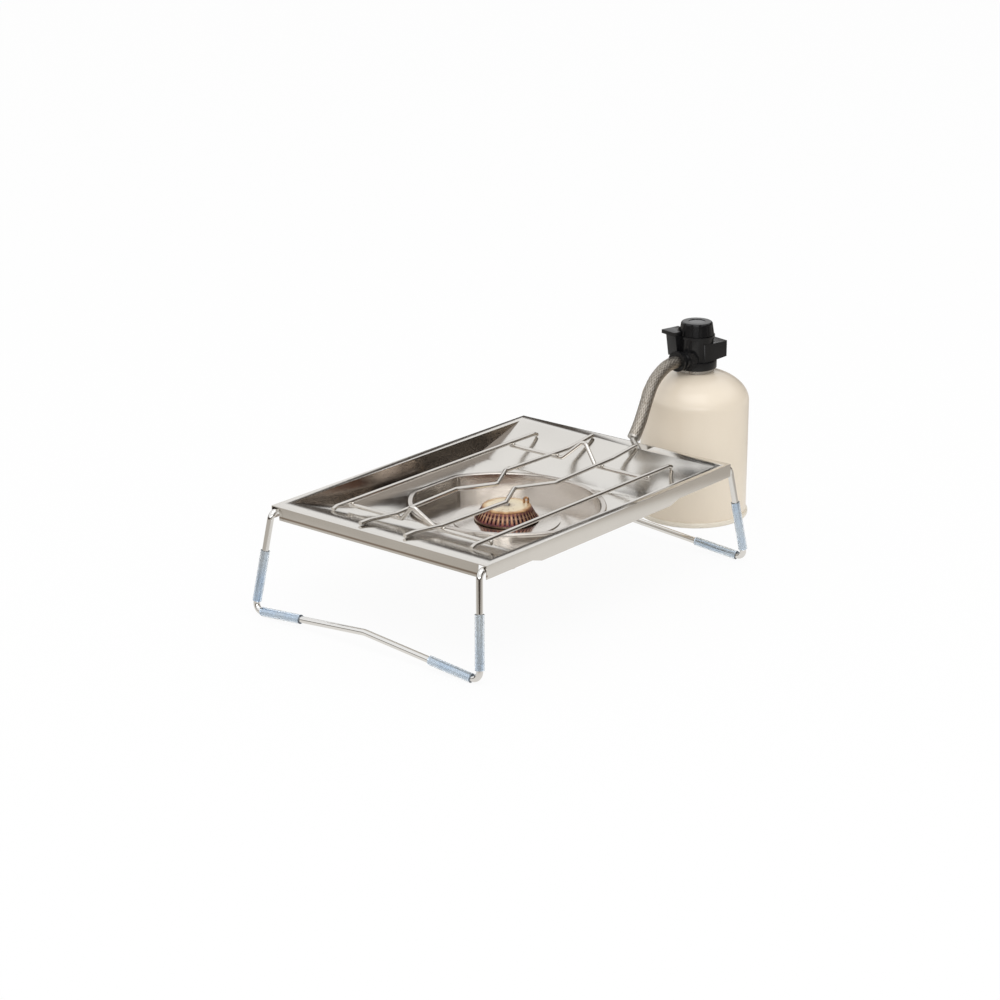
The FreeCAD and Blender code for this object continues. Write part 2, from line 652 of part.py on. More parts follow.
def make_top_plate():
    """The pressed tray: flat flanges, slanted ends, rolled long edges and a turned-down skirt."""
    body = new_body("TrayPressing")
    deck = [(-half_length, -half_width), (half_length, -half_width),
            (half_length, half_width), (-half_length, half_width)]
    inner_x = half_length - s.sheet_gauge
    inner_y = half_width - s.sheet_gauge
    inside = [(-inner_x, -inner_y), (inner_x, -inner_y), (inner_x, inner_y), (-inner_x, inner_y)]
    skirt_bottom = s.plate_top - s.skirt_depth
    extrude(body, "Pad", draw(body, "XY_Plane", [deck], s.plate_top - s.sheet_gauge), s.sheet_gauge)
    extrude(body, "Pad", draw(body, "XY_Plane", [deck, inside], skirt_bottom), s.skirt_depth)
    tub = [(-flange_start, s.plate_top), (-flange_start, s.plate_top - s.sheet_gauge),
           (-floor_end, floor_top - s.sheet_gauge), (floor_end, floor_top - s.sheet_gauge),
           (flange_start, s.plate_top - s.sheet_gauge), (flange_start, s.plate_top)]
    extrude(body, "Pad", draw(body, "XZ_Plane", [tub]), 2 * wall_outer, symmetric=True)
    air = [(-flange_start, s.plate_top), (-floor_end, floor_top), (floor_end, floor_top),
           (flange_start, s.plate_top)]
    extrude(body, "Pocket", draw(body, "XZ_Plane", [air]), 2 * wall_inner, symmetric=True)
    mouths = []
    for x in (-half_length, half_length):
        for y in (-half_width + s.mouth_width / 2, half_width - s.mouth_width / 2):
            mouths.append(box("Mouth", x - 2 * s.sheet_gauge, x + 2 * s.sheet_gauge,
                              y - s.mouth_width / 2 + s.sheet_gauge, y + s.mouth_width / 2 - s.sheet_gauge,
                              skirt_bottom - s.sheet_gauge, s.plate_top - s.sheet_gauge))
    slot_outer = half_length - s.slot_inset
    slot = box("HoseSlot", slot_outer - s.slot_run, slot_outer, s.slot_right, s.slot_left,
               s.plate_top - 2 * s.sheet_gauge, s.plate_top + s.sheet_gauge)
    opening_grow = num(s.sheet_gauge + s.basin_seat_gap - s.bead_width / 2)
    opening = feature("BasinOpening", basin_block(opening_grow, num(floor_top - 2 * s.sheet_gauge),
                                                  num(floor_top + s.sheet_gauge)))
    return keep(cut("TopPlate", body, *mouths, slot, opening), "top_plate")


def make_burner_basin():
    """The basin: rolled rim on the tray's floor, upright wall, floor with a raised round step."""
    inner = -num(s.bead_width) / 2
    outer = inner + num(s.sheet_gauge)
    bottom = num(basin_floor - s.sheet_gauge)
    rim_top = num(floor_top + s.bead_height)
    rim = basin_block(num(s.bead_width) / 2, num(floor_top), rim_top)
    rim = rim.cut(basin_block(inner, num(floor_top) - 1, rim_top + 1))
    rim_edges = [edge for edge in rim.Edges if edge.BoundBox.ZMin > rim_top - 0.01]
    rim = rim.makeFillet(num(s.bead_round), rim_edges)
    well = basin_block(outer, bottom, num(floor_top + s.sheet_gauge))
    well = well.cut(basin_block(inner, num(basin_floor), rim_top + 1))
    gauge = num(s.sheet_gauge)
    step_radius = num(s.step_radius)
    step = Part.makeCylinder(step_radius, num(s.step_height) + gauge, Vector(0, 0, bottom))
    hollow = Part.makeCylinder(step_radius - gauge, num(s.step_height), Vector(0, 0, bottom))
    hole_height = 4 * gauge + num(s.step_height)
    hole = Part.makeCylinder(num(s.burner_hole_radius), hole_height, Vector(0, 0, bottom - gauge))
    shape = rim.fuse([well, step]).cut([hollow, hole])
    return keep(feature("BurnerBasin", shape.removeSplitter()), "burner_basin")


make_top_plate()
make_burner_basin()


# Legs

def leg_points(end):
    """Corners of a leg wire from one hinge to the other; end is -1 near and 1 far."""
    lean = num(s.foot_reach - s.mouth_reach)
    tilt = math.atan2(num(s.foot_rise), num(half_width + s.foot_spread))
    sleeve = num(s.sleeve_diameter) / 2
    foot_z = sleeve * math.cos(tilt) - num(s.foot_sleeve_start) * math.sin(tilt)
    mouth_z = num(s.plate_top - s.mouth_drop)
    drop = mouth_z - foot_z
    tail_y = num(leg_run_y - s.hinge_tail)
    half = [
        Vector(end * num(hinge_x), tail_y, num(hinge_z)),
        Vector(end * num(hinge_x), num(leg_run_y), num(hinge_z)),
        Vector(end * num(half_length + s.mouth_reach), num(leg_run_y), mouth_z),
        Vector(end * num(half_length + s.foot_reach), num(half_width + s.foot_spread), foot_z),
    ]
    rise = num(s.foot_rise)
    kink = Vector(end * (num(half_length + s.foot_reach) - lean * rise / drop), 0, foot_z + rise)
    other = [Vector(p.x, -p.y, p.z) for p in reversed(half)]
    return half + [kink] + other


def sleeve_between(start, end, begin, length):
    """A clear sleeve on the straight run from start to end, begun at a distance along it."""
    direction = (end - start).normalize()
    bore = num(s.leg_wire) / 2 + num(s.sleeve_play)
    return straight_tube(start + direction * begin, start + direction * (begin + length),
                         num(s.sleeve_diameter) / 2, bore)


def make_leg(end, name):
    """One leg: a bent wire and four clear sleeves."""
    points = leg_points(end)
    bends = [num(size) for size in (s.knee_radius, s.mouth_radius, s.foot_radius, s.foot_kink_radius,
                                    s.foot_radius, s.mouth_radius, s.knee_radius)]
    wire = tube_along(points, bends, num(s.leg_wire) / 2)
    keep(feature("LegWire", wire), name + "_leg_wire")
    posts = []
    feet = []
    for mouth, foot in ((points[2], points[3]), (points[6], points[5])):
        steepness = (mouth.z - foot.z) / (mouth - foot).Length
        begin = (num(s.post_sleeve_low) - foot.z) / steepness
        posts.append(sleeve_between(foot, mouth, begin, num(s.post_sleeve_length)))
        feet.append(sleeve_between(foot, points[4], num(s.foot_sleeve_start), num(s.foot_sleeve_length)))
    keep(feature("PostSleeves", Part.makeCompound(posts)), name + "_leg_post_sleeves")
    keep(feature("FootSleeves", Part.makeCompound(feet)), name + "_leg_foot_sleeves")


def tray_above(end, start_y):
    """The room that a slanted end takes up over a hinge bracket."""
    under = num(s.sheet_gauge)
    low, high = num(floor_end), num(flange_start)
    top = num(s.plate_top)
    corners = [Vector(end * x, start_y, z) for x, z in (
        (low, slope_height(low) - under), (high, slope_height(high) - under), (high, top), (low, top))]
    face = Part.Face(Part.makePolygon(corners + corners[:1]))
    return face.extrude(Vector(0, num(s.bracket_width), 0))


def make_hinge_brackets(end, name):
    """Two saddle brackets under a slanted end, each round one inward end of the leg wire."""
    radius = num(s.leg_wire) / 2 + num(s.pin_play)
    outer = radius + num(s.bracket_wall)
    centre = num(hinge_x)
    half = num(s.bracket_base) / 2
    under = num(s.sheet_gauge)
    brackets = []
    for side in (1, -1):
        near_y = side * num(leg_run_y - s.hinge_tail + s.bracket_inset)
        start_y = min(near_y, near_y + side * num(s.bracket_width))
        corners = [Vector(end * x, start_y, z) for x, z in (
            (centre - half, slope_height(centre - half) - under),
            (centre + half, slope_height(centre + half) - under),
            (centre + outer, num(hinge_z)),
            (centre - outer, num(hinge_z)))]
        face = Part.Face(Part.makePolygon(corners + corners[:1]))
        web = face.extrude(Vector(0, num(s.bracket_width), 0))
        centre_point = Vector(end * centre, start_y, num(hinge_z))
        barrel = Part.makeCylinder(outer, num(s.bracket_width), centre_point, Vector(0, 1, 0))
        bore = Part.makeCylinder(radius, num(s.bracket_width), centre_point, Vector(0, 1, 0))
        bracket = web.fuse(barrel).cut(bore).cut(tray_above(end, start_y))
        brackets.append(bracket.removeSplitter())
    keep(feature("HingeBrackets", Part.makeCompound(brackets)), name + "_hinge_brackets")


for leg_end, leg_name in ((-1, "near"), (1, "far")):
    make_leg(leg_end, leg_name)
    make_hinge_brackets(leg_end, leg_name)


# Grate

def grate_feature(label, points, bend=None):
    """One grate wire through its corners."""
    radius = num(s.grate_wire) / 2
    bends = [bend or num(s.grate_bend)] * (len(points) - 2)
    keep(feature("GrateWire", tube_along(points, bends, radius)), label)


def make_outer_wire(side, name):
    """A straight outer wire with both tips bent down onto the slanted ends."""
    level = num(s.grate_level)
    radius = num(s.grate_wire) / 2
    run = num(s.outer_tip_run)
    y = side * num(s.grate_half_width)
    tips = []
    near = num(s.outer_near_inset - flange_start)
    far = num(flange_start - s.outer_far_inset)
    for tip, inward in ((near, 1), (far, -1)):
        corner = Vector(tip + inward * run, y, level)
        low_x = abs(tip) - radius
        tip_z = slope_height(low_x) + num(s.grate_seat_gap) + radius
        tips.append((Vector(tip, y, tip_z), corner))
    points = [tips[0][0], tips[0][1], tips[1][1], tips[1][0]]
    grate_feature("grate_outer_wire_" + name, points)


def make_inner_wire(side, name):
    """A wire that rests on both flanges and bends in toward the burner."""
    level = num(s.grate_level)
    end_z = num(s.plate_top) + num(s.grate_seat_gap) + num(s.grate_wire) / 2
    near = num(s.inner_near_inset - half_length)
    far = num(half_length - s.inner_far_inset)
    rest = num(flange_start - s.inner_rest_run)
    low = rest - num(s.inner_lift_run)
    span = num(s.vee_half_span)
    middle = num(s.vee_shift)
    gap = num(s.inner_half_gap)
    bulge = num(s.inner_half_bulge)
    plan = [(near, gap, end_z), (-rest, gap, end_z), (-low, gap, level), (middle - span, bulge, level),
            (middle, num(s.vee_reach), level), (middle + span, bulge, level), (low, gap, level),
            (rest, gap, end_z), (far, gap, end_z)]
    grate_feature("grate_inner_wire_" + name, [Vector(x, side * y, z) for x, y, z in plan])


def make_cross_wire(place_x, end, name):
    """A cross wire under the long ones, with a leaning peak in the middle."""
    level = num(s.grate_level - s.grate_wire + s.weld_sink)
    half = num(s.grate_half_width) + num(s.grate_wire) / 2
    x = num(place_x)
    peak = Vector(x + end * num(s.peak_lean), 0, level + num(s.peak_height))
    width = num(s.peak_half_width)
    points = [Vector(x, -half, level), Vector(x, -width, level), peak, Vector(x, width, level),
              Vector(x, half, level)]
    grate_feature("grate_cross_wire_" + name, points)


for wire_side, side_name in ((1, "left"), (-1, "right")):
    make_outer_wire(wire_side, side_name)
    make_inner_wire(wire_side, side_name)
make_cross_wire(-floor_end - s.cross_near_reach, -1, "near")
make_cross_wire(floor_end + s.cross_far_reach, 1, "far")


# Burner

def make_burner_body():
    """The casting: a flange on the basin, a cup through it and the mixing tube below."""
    tube_inner = s.mixing_tube_radius - s.mixing_tube_wall
    cup_inner = s.burner_cup_radius - s.burner_wall
    outline = [
        (tube_inner, tube_bottom), (s.mixing_tube_radius, tube_bottom),
        (s.mixing_tube_radius, cup_bottom), (s.burner_cup_radius - s.cup_slant, cup_bottom),
        (s.burner_cup_radius, cup_bottom + s.cup_slant), (s.burner_cup_radius, step_top),
        (s.burner_flange_radius, step_top), (s.burner_flange_radius, ring_bottom),
        (cup_inner, ring_bottom), (cup_inner, cup_bottom + s.cup_slant + s.burner_wall / 2),
        (cup_inner - s.cup_slant + s.burner_wall / 2, cup_bottom + s.burner_wall),
        (tube_inner, cup_bottom + s.burner_wall)]
    body = turned("BurnerCasting", outline)
    low = tube_bottom + s.shutter_lift + (s.shutter_height - s.air_window_height) / 2
    windows = air_windows("TubeWindow", low)
    return keep(cut("BurnerBody", body, *windows), "burner_body")


def air_windows(name, low):
    """Two boxes that cross at the mixing tube and open four air windows."""
    half = s.air_window_width / 2
    reach = s.mixing_tube_radius + 2 * s.shutter_wall
    high = low + s.air_window_height
    return [box(name, -reach, reach, -half, half, low, high),
            box(name, -half, half, -reach, reach, low, high)]


def make_air_shutter():
    """A ring round the mixing tube with the same four windows."""
    bottom = tube_bottom + s.shutter_lift
    ring = turned("ShutterRing", ring_outline(s.mixing_tube_radius, s.mixing_tube_radius + s.shutter_wall,
                                              bottom, bottom + s.shutter_height))
    low = bottom + (s.shutter_height - s.air_window_height) / 2
    return keep(cut("AirShutter", ring, *air_windows("ShutterWindow", low)), "air_shutter")


def make_flame_cap():
    """The slotted cone: two rows of upright slots all round."""
    foot = s.cap_foot_radius
    head = s.cap_head_radius
    cone = turned("CapCone", [(foot - s.cap_wall, cap_bottom), (foot, cap_bottom), (head, cap_top),
                              (head - s.cap_wall, cap_top)])
    count = int(num(s.cap_slots))
    low = cap_bottom + s.slot_start
    high = low + s.lower_slot_height + s.slot_row_gap
    rows = ((num(low), num(s.lower_slot_height)), (num(high), num(s.upper_slot_height)))
    width = num(s.slot_width)
    slots = []
    for bottom, height in rows:
        lift = (bottom - num(cap_bottom)) / num(s.cap_height)
        narrow = width * (1 - num(s.slot_taper) * lift)
        for index in range(count):
            slot = Part.makeBox(num(foot), narrow, height, Vector(num(head) / 2, -narrow / 2, bottom))
            slot.rotate(Vector(0, 0, 0), Vector(0, 0, 1), index * 360 / count)
            slots.append(slot)
    tools = feature("FlameSlots", Part.makeCompound(slots))
    return keep(cut("FlameCap", cone, tools), "flame_cap")


def make_cap_top():
    """The disc on the cone, a little lower at its edge, with a hole for its screw."""
    hole = s.cap_bolt_radius
    edge = s.cap_top_radius
    outline = [(hole, cap_top), (edge, cap_top), (edge, cap_top + s.cap_top_height / 2),
               (edge - s.cap_top_slant, disc_top), (hole, disc_top)]
    return keep(turned("CapTop", outline), "burner_cap_top")


def make_cap_screw():
    """The screw that holds disc and cone to the bridge in the ring."""
    head_round = s.cap_screw_height / 3
    bottom = ring_bottom - s.cap_bolt_end
    outline = [(0, bottom), (s.cap_bolt_radius, bottom), (s.cap_bolt_radius, disc_top),
               (s.cap_screw_radius, disc_top), (s.cap_screw_radius, disc_top + head_round),
               (s.cap_screw_radius - head_round, disc_top + s.cap_screw_height),
               (0, disc_top + s.cap_screw_height)]
    screw = turned("CapScrewBlank", outline)
    half_slot = s.cap_screw_slot / 2
    head_top = disc_top + s.cap_screw_height
    slot = box("CapScrewSlot", -s.cap_screw_radius, s.cap_screw_radius, -half_slot, half_slot,
               head_top - s.cap_screw_slot, head_top + s.cut_over)
    return keep(cut("CapScrew", screw, slot), "cap_screw")


def make_burner_ring():
    """The base ring, with a bridge across it that the cap's screw holds on to."""
    opening = s.burner_cup_radius - s.burner_wall
    ring = turned("BaseRing", ring_outline(opening, s.ring_radius, ring_bottom, cap_bottom))
    half = s.bridge_width / 2
    bridge = box("Bridge", -opening - s.overlap, opening + s.overlap, -half, half, ring_bottom, cap_bottom)
    bore = rod("BridgeBore", s.cap_bolt_radius, ring_bottom - s.cut_over, cap_bottom + s.cut_over)
    return keep(cut("BurnerRing", fuse("RingAndBridge", ring, bridge), bore), "burner_ring")


def make_cap_clip():
    """The wire loop that stands on the disc, at its far right edge."""
    top = num(disc_top)
    near = polar(num(s.clip_near_radius), num(s.clip_near_angle), top)
    far = polar(num(s.clip_far_radius), num(s.clip_far_angle), top)
    rise = Vector(0, 0, num(s.clip_height))
    points = [near, near + rise, far + rise, far]
    bends = [num(s.clip_bend)] * 2
    return keep(feature("CapClip", tube_along(points, bends, num(s.clip_wire) / 2)), "cap_clip")


def make_jet_parts():
    """Ring nut, jet holder, jet and gauze."""
    nut_top = basin_floor + s.step_height - s.sheet_gauge
    nut = turned("LockRingBlank", ring_outline(s.burner_cup_radius, s.lock_ring_radius,
                                               nut_top - s.lock_ring_height, nut_top))
    notch = s.lock_ring_notch / 2
    edge = s.lock_ring_radius - notch
    reach = s.lock_ring_radius + s.cut_over
    low = nut_top - s.lock_ring_height - s.cut_over
    high = nut_top + s.cut_over
    tools = [box("Notch", edge, reach, -notch, notch, low, high),
             box("Notch", -reach, -edge, -notch, notch, low, high),
             box("Notch", -notch, notch, edge, reach, low, high),
             box("Notch", -notch, notch, -reach, -edge, low, high)]
    keep(cut("LockRing", nut, *tools), "burner_lock_ring")
    holder_bottom = tube_bottom - s.holder_height
    holder = turned("HolderBlank", [(0, holder_bottom), (s.holder_radius, holder_bottom),
                                    (s.holder_radius, tube_bottom), (0, tube_bottom)])
    seat = tube_bottom - s.jet_seat_depth
    jet_seat = rod("JetSeat", s.jet_radius, seat, tube_bottom + s.cut_over)
    level = tube_bottom - s.holder_height / 2
    reach = s.holder_boss_reach
    boss = cross_rod("Boss", s.holder_boss_radius, (0, 0, level), reach, Vector(1, 0, 0))
    gallery = cross_rod("Gallery", s.pipe_bore, (0, 0, level), reach + s.cut_over, Vector(1, 0, 0))
    riser = rod("Riser", s.pipe_bore, level, tube_bottom)
    keep(cut("JetHolder", fuse("HolderAndBoss", holder, boss), jet_seat, gallery, riser), "jet_holder")
    jet_top = tube_bottom + s.jet_height
    jet = [(s.jet_bore, seat), (s.jet_radius, seat), (s.jet_radius, jet_top - s.jet_taper),
           (s.jet_radius / 2, jet_top), (s.jet_bore, jet_top)]
    keep(turned("GasJet", jet), "gas_jet")
    gauze_top = ring_bottom - s.gauze_level
    gauze = turned("Gauze", [(0, gauze_top - s.gauze_height),
                             (s.burner_cup_radius - s.burner_wall, gauze_top - s.gauze_height),
                             (s.burner_cup_radius - s.burner_wall, gauze_top), (0, gauze_top)])
    keep(gauze, "burner_gauze")


make_burner_body()
make_air_shutter()
make_burner_ring()
make_flame_cap()
make_cap_top()
make_cap_screw()
make_cap_clip()
make_jet_parts()


# Gas line from the hose to the jet

def hexagon(start, direction, flats, length, bore):
    """A hexagonal nut along a direction."""
    radius = flats / math.sqrt(3)
    outline = Part.makePolygon([polar(radius, 60 * corner, 0) for corner in range(7)])
    nut = Part.Face(outline).extrude(Vector(0, 0, length)).cut(Part.makeCylinder(bore, length))
    nut.Placement = Placement(start, Rotation(Vector(0, 0, 1), direction))
    return nut


def elbow_points():
    """Corners of the steel elbow, from the hose's end down through the slot."""
    end = hose_points[0]
    along = (end - hose_points[1]).normalize()
    foot_x = num(half_length - s.elbow_foot_inset)
    foot = Vector(foot_x, num(s.elbow_foot_y), num(s.plate_top - s.elbow_foot_drop))
    sway = Vector(-num(s.elbow_sway_x), num(s.elbow_sway_y), num(s.elbow_foot_drop - s.elbow_knee_drop))
    return [end, end + along * num(s.end_cap_length + s.elbow_lead), foot + sway, foot]


def pipe_points():
    """Corners of the gas pipe, from the jet holder to the elbow's nut."""
    low = num(tube_bottom - s.holder_height / 2)
    under = num(basin_floor - s.sheet_gauge - s.pipe_clear - s.pipe_radius)
    bend, end = elbow_points()[-2:]
    below = end + (end - bend).normalize() * num(s.pipe_drop)
    return [Vector(num(s.holder_boss_reach), 0, low),
            Vector(num(s.pipe_rise_x), 0, low),
            Vector(num(s.pipe_rise_x + s.pipe_rise_run), num(s.pipe_rise_y), under),
            Vector(num(s.pipe_turn_x), num(s.pipe_turn_y), under),
            below,
            end]


def make_gas_line():
    """Pipe, its two nuts, the strap under the basin, the elbow and the hose's crimped end."""
    route = pipe_points()
    bend = num(s.pipe_bend)
    radius = num(s.pipe_radius)
    pipe = tube_along(route, [bend] * (len(route) - 2), radius, num(s.pipe_bore))
    keep(feature("GasPipe", pipe), "gas_pipe")
    flats = num(s.pipe_nut_flats)
    length = num(s.pipe_nut_length)
    nut = hexagon(route[0], route[1] - route[0], flats, length, radius)
    keep(feature("JetNut", nut), "pipe_nut_jet")
    down = (route[-2] - route[-1]).normalize()
    nut = hexagon(route[-1], down, flats, length, radius)
    keep(feature("ElbowNut", nut), "pipe_nut_elbow")
    elbow = tube_along(elbow_points(), [num(s.elbow_bend)] * 2, num(s.elbow_radius), num(s.elbow_bore))
    keep(feature("HoseElbow", elbow), "hose_elbow")
    end = hose_points[0]
    along = (end - hose_points[1]).normalize() * num(s.end_cap_length)
    cap = straight_tube(end, end + along, num(s.hose_diameter) / 2, num(s.elbow_radius))
    keep(feature("HoseEnd", cap), "hose_end_cap")
    make_pipe_strap(route)


def make_pipe_strap(route):
    """A strap welded under the basin, with the pipe through it."""
    start, end = route[2], route[3]
    along = (end - start).normalize()
    across = Vector(0, 0, 1).cross(along)
    strap_x = num(s.basin_arc_radius - s.basin_arc_shift - s.clip_strap_inset)
    centre = start + along * ((strap_x - start.x) / along.x)
    half_strap = num(s.clip_strap_length) / 2
    half_across = num(s.clip_strap_width) / 2
    radius = num(s.pipe_radius)
    top = num(basin_floor - s.sheet_gauge) - centre.z
    base = centre - along * half_strap
    gauge = num(s.clip_strap_gauge)
    side = radius + gauge
    profile = [(-half_across, top), (-half_across, top - gauge), (-side, top - gauge), (-side, -side),
               (side, -side), (side, top - gauge), (half_across, top - gauge), (half_across, top)]
    corners = [base + across * y + Vector(0, 0, z) for y, z in profile]
    face = Part.Face(Part.makePolygon(corners + corners[:1]))
    strap = face.extrude(along * (2 * half_strap))
    strap = strap.cut(Part.makeCylinder(radius, 2 * half_strap, base, along))
    keep(feature("PipeStrap", strap), "pipe_strap")


def make_hose():
    """The hose as a plain tube: straight runs joined by arcs as large as the runs allow."""
    radii = []
    for before, corner, after in zip(hose_points, hose_points[1:], hose_points[2:]):
        turn = (corner - before).getAngle(after - corner)
        shorter = min((corner - before).Length, (after - corner).Length)
        radii.append(num(s.hose_bend_share) * shorter / math.tan(turn / 2))
    keep(feature("Hose", tube_along(hose_points, radii, num(s.hose_diameter) / 2)), "gas_hose")


make_gas_line()
make_hose()


# Valve, in its own frame: Z on the canister's axis, X along the block

def keep_valve(thing, label):
    """Place a valve part on the canister's axis, turned with the valve."""
    return keep(thing, label, canister_place_x, s.canister_y, s.valve_turn)


def make_valve_body():
    """The black body: round foot, block, neck, hose port and side arm, with its bores."""
    collar_top = s.valve_collar_bottom + s.valve_collar_height
    collar = rod("Foot", s.valve_collar_radius, s.valve_collar_bottom, collar_top)
    w = s.block_half_width
    block = pad("Block", "XZ_Plane", [[
        (s.block_start, collar_top - s.overlap), (s.block_slant_start, collar_top - s.overlap),
        (s.block_end, s.block_end_bottom),
        (s.block_end, s.block_top), (s.block_start, s.block_top)]], 2 * w, symmetric=True)
    corners = []
    for x, chamfer in ((s.block_start, s.block_left_chamfer), (s.block_end, s.block_right_chamfer)):
        size = chamfer * math.sqrt(2)
        for y in (1, -1):
            corner = box("BlockCorner", 0, size, 0, size, s.valve_collar_bottom, s.block_top + s.cut_over)
            corner.Placement = Placement(Vector(0, 0, 0), Rotation(Vector(0, 0, 1), 45))
            corners.append(place(corner, x, y * w - chamfer, s.valve_collar_bottom))
    block = cut("BlockCut", block, *corners)
    flange_bottom = s.valve_flange_top - s.valve_flange_height
    neck = rod("Neck", s.neck_radius, s.block_top - s.neck_root, flange_bottom)
    flange = rod("Flange", s.valve_flange_radius, flange_bottom, s.valve_flange_top)
    port_way = polar(1, num(s.port_angle), 0)
    port = cross_rod("Port", s.port_radius, (0, 0, s.port_level), s.port_reach, port_way)
    arm = pad("Arm", "XZ_Plane", [[
        (-s.arm_root, s.arm_bottom), (-s.arm_foot_reach, s.arm_bottom), (-s.arm_reach, s.arm_top),
        (-s.arm_root, s.arm_top)]], s.arm_width, -(s.arm_near + s.arm_width))
    plate = box("ArmPlate", -s.arm_reach - s.arm_plate_over, -s.arm_plate_root,
                s.arm_near - s.arm_plate_over / 2, s.arm_near + s.arm_width + s.arm_plate_over,
                s.arm_top - s.overlap, s.arm_top + s.arm_plate_height)
    clear_knob = rod("KnobRoom", s.knob_foot_radius + s.knob_room, s.valve_flange_top, knob_top + s.cut_over)
    plug_way = polar(1, num(s.plug_angle), 0)
    plug_base = plug_way * num(s.plug_reach - s.plug_length)
    plug_foot = (plug_base.x, plug_base.y, s.plug_level)
    plug_seat = cross_rod("PlugSeat", s.plug_radius, plug_foot, 2 * s.plug_reach, plug_way)
    blank = fuse("ValveFuse", collar, block, neck, flange, arm, plate)
    shell = fuse("ValveSolid", cut("ValveBlank", blank, clear_knob, plug_seat), port)
    bore = rod("SpindleBore", s.spindle_radius + s.spindle_play, s.spindle_bottom,
               s.valve_flange_top + s.cut_over)
    below = s.valve_collar_bottom - s.cut_over
    socket = rod("InsertBore", s.insert_radius, below, s.insert_top)
    ring_room = rod("CupRoom", s.cup_ring_radius + s.cup_room_play, below,
                    s.valve_collar_bottom + s.cup_room_depth)
    chamber = cross_rod("Chamber", s.chamber_radius, (s.chamber_start, 0, s.chamber_level),
                        s.block_end - s.chamber_start + s.cut_over, Vector(1, 0, 0))
    port_bore = cross_rod("PortBore", s.hose_bore / 2, (0, 0, s.port_level), s.port_reach + s.cut_over,
                          port_way)
    keep_valve(cut("ValveBody", shell, bore, socket, ring_room, chamber, port_bore), "valve_body")
    plug = cross_rod("FrontPlugRod", s.plug_radius, plug_foot, s.plug_length, plug_way)
    keep_valve(cut("FrontPlug", plug, port), "valve_front_plug")


def make_valve_insides():
    """Thread insert, sealing washer and the pin that opens the canister."""
    thread = s.stub_radius + s.thread_play
    shelf = s.insert_top - s.insert_roof
    washer = ring_outline(s.probe_radius + s.seal_play, s.stub_radius, shelf - s.seal_height, shelf)
    keep_valve(turned("SealWasher", washer), "seal_washer")
    foot = s.valve_collar_bottom + s.cup_room_depth
    insert = [(thread, foot), (s.insert_radius, foot), (s.insert_radius, s.insert_top),
              (s.probe_radius, s.insert_top), (s.probe_radius, shelf), (thread, shelf)]
    keep_valve(turned("ThreadInsert", insert), "thread_insert")
    tip = shelf - s.probe_length
    pin = [(0, tip), (s.probe_radius, tip), (s.probe_radius, s.insert_top), (0, s.insert_top)]
    keep_valve(turned("ProbePin", pin), "probe_pin")


def make_knob():
    """The knob: tapered, grooved, rounded on top, hollow below and recessed above."""
    hub = s.spindle_radius + s.knob_hub_wall
    roof = knob_top - s.knob_recess_depth - s.knob_wall
    outline = [
        (s.spindle_radius, knob_bottom), (hub, knob_bottom), (hub, roof),
        (s.knob_head_radius - s.knob_wall, roof), (s.knob_foot_radius - s.knob_wall, knob_bottom),
        (s.knob_foot_radius, knob_bottom), (s.knob_head_radius, knob_top),
        (s.knob_recess_radius, knob_top), (s.knob_recess_radius, knob_top - s.knob_recess_depth),
        (0, knob_top - s.knob_recess_depth), (0, knob_bottom + s.spindle_seat_depth),
        (s.spindle_radius, knob_bottom + s.spindle_seat_depth)]
    body = turned("KnobBlank", outline)
    rim = num(s.knob_head_radius)
    top = num(knob_top)
    round_edges(body, s.knob_round, lambda r, z: abs(r - rim) < 0.01 and abs(z - top) < 0.01)
    grooves = []
    count = int(num(s.knob_flutes))
    stand_off = s.flute_radius - s.flute_depth
    for index in range(count):
        turn = index * 360 / count
        centre = polar(num(s.knob_foot_radius + stand_off), turn, num(knob_bottom - s.cut_over))
        leaning = polar(num(s.knob_head_radius + stand_off), turn, num(knob_top + s.cut_over)) - centre
        grooves.append(Part.makeCylinder(num(s.flute_radius), leaning.Length, centre, leaning))
    tools = feature("KnobGrooves", Part.makeCompound(grooves))
    keep_valve(cut("Knob", body, tools), "control_knob")
    disc_bottom = knob_top - s.knob_recess_depth
    disc_radius = s.knob_recess_radius - s.disc_play
    disc = ring_outline(0, disc_radius, disc_bottom, disc_bottom + s.disc_height)
    keep_valve(turned("KnobDisc", disc), "knob_disc")
    tip = s.spindle_tip
    spindle_top = knob_bottom + s.spindle_seat_depth
    spindle = [(0, s.spindle_bottom + tip), (s.spindle_radius - tip, s.spindle_bottom + tip),
               (s.spindle_radius, s.spindle_bottom + 2 * tip), (s.spindle_radius, spindle_top),
               (0, spindle_top)]
    keep_valve(turned("Spindle", spindle), "valve_spindle")


def make_regulator():
    """Diaphragm, spring and cap in the block's side chamber."""
    radius = s.chamber_radius
    level = s.chamber_level
    along = Vector(1, 0, 0)
    diaphragm = cross_rod("Diaphragm", radius, (s.chamber_start, 0, level), s.diaphragm_gauge, along)
    keep_valve(diaphragm, "pressure_diaphragm")
    cap_start = s.block_end - s.chamber_cap_length
    cap = cross_rod("ChamberCap", radius, (cap_start, 0, level), s.chamber_cap_length, along)
    keep_valve(cap, "pressure_chamber_cap")
    wire = num(s.spring_wire) / 2
    start = num(s.chamber_start + s.diaphragm_gauge) + wire
    length = num(cap_start) - wire - start
    turns = num(s.spring_turns)
    coil_radius = num(s.spring_radius) - wire
    coil = Part.makeHelix(length / turns, length, coil_radius)
    profile = Part.Wire([Part.makeCircle(wire, Vector(coil_radius, 0, 0), Vector(0, 1, 0))])
    spring = Part.Wire(coil.Edges).makePipeShell([profile], True, True)
    spring.Placement = Placement(Vector(start, 0, num(level)), Rotation(Vector(0, 1, 0), 90))
    holder = feature("PressureSpringCoil", spring)
    keep_valve(group("PressureSpring", [holder]), "pressure_spring")


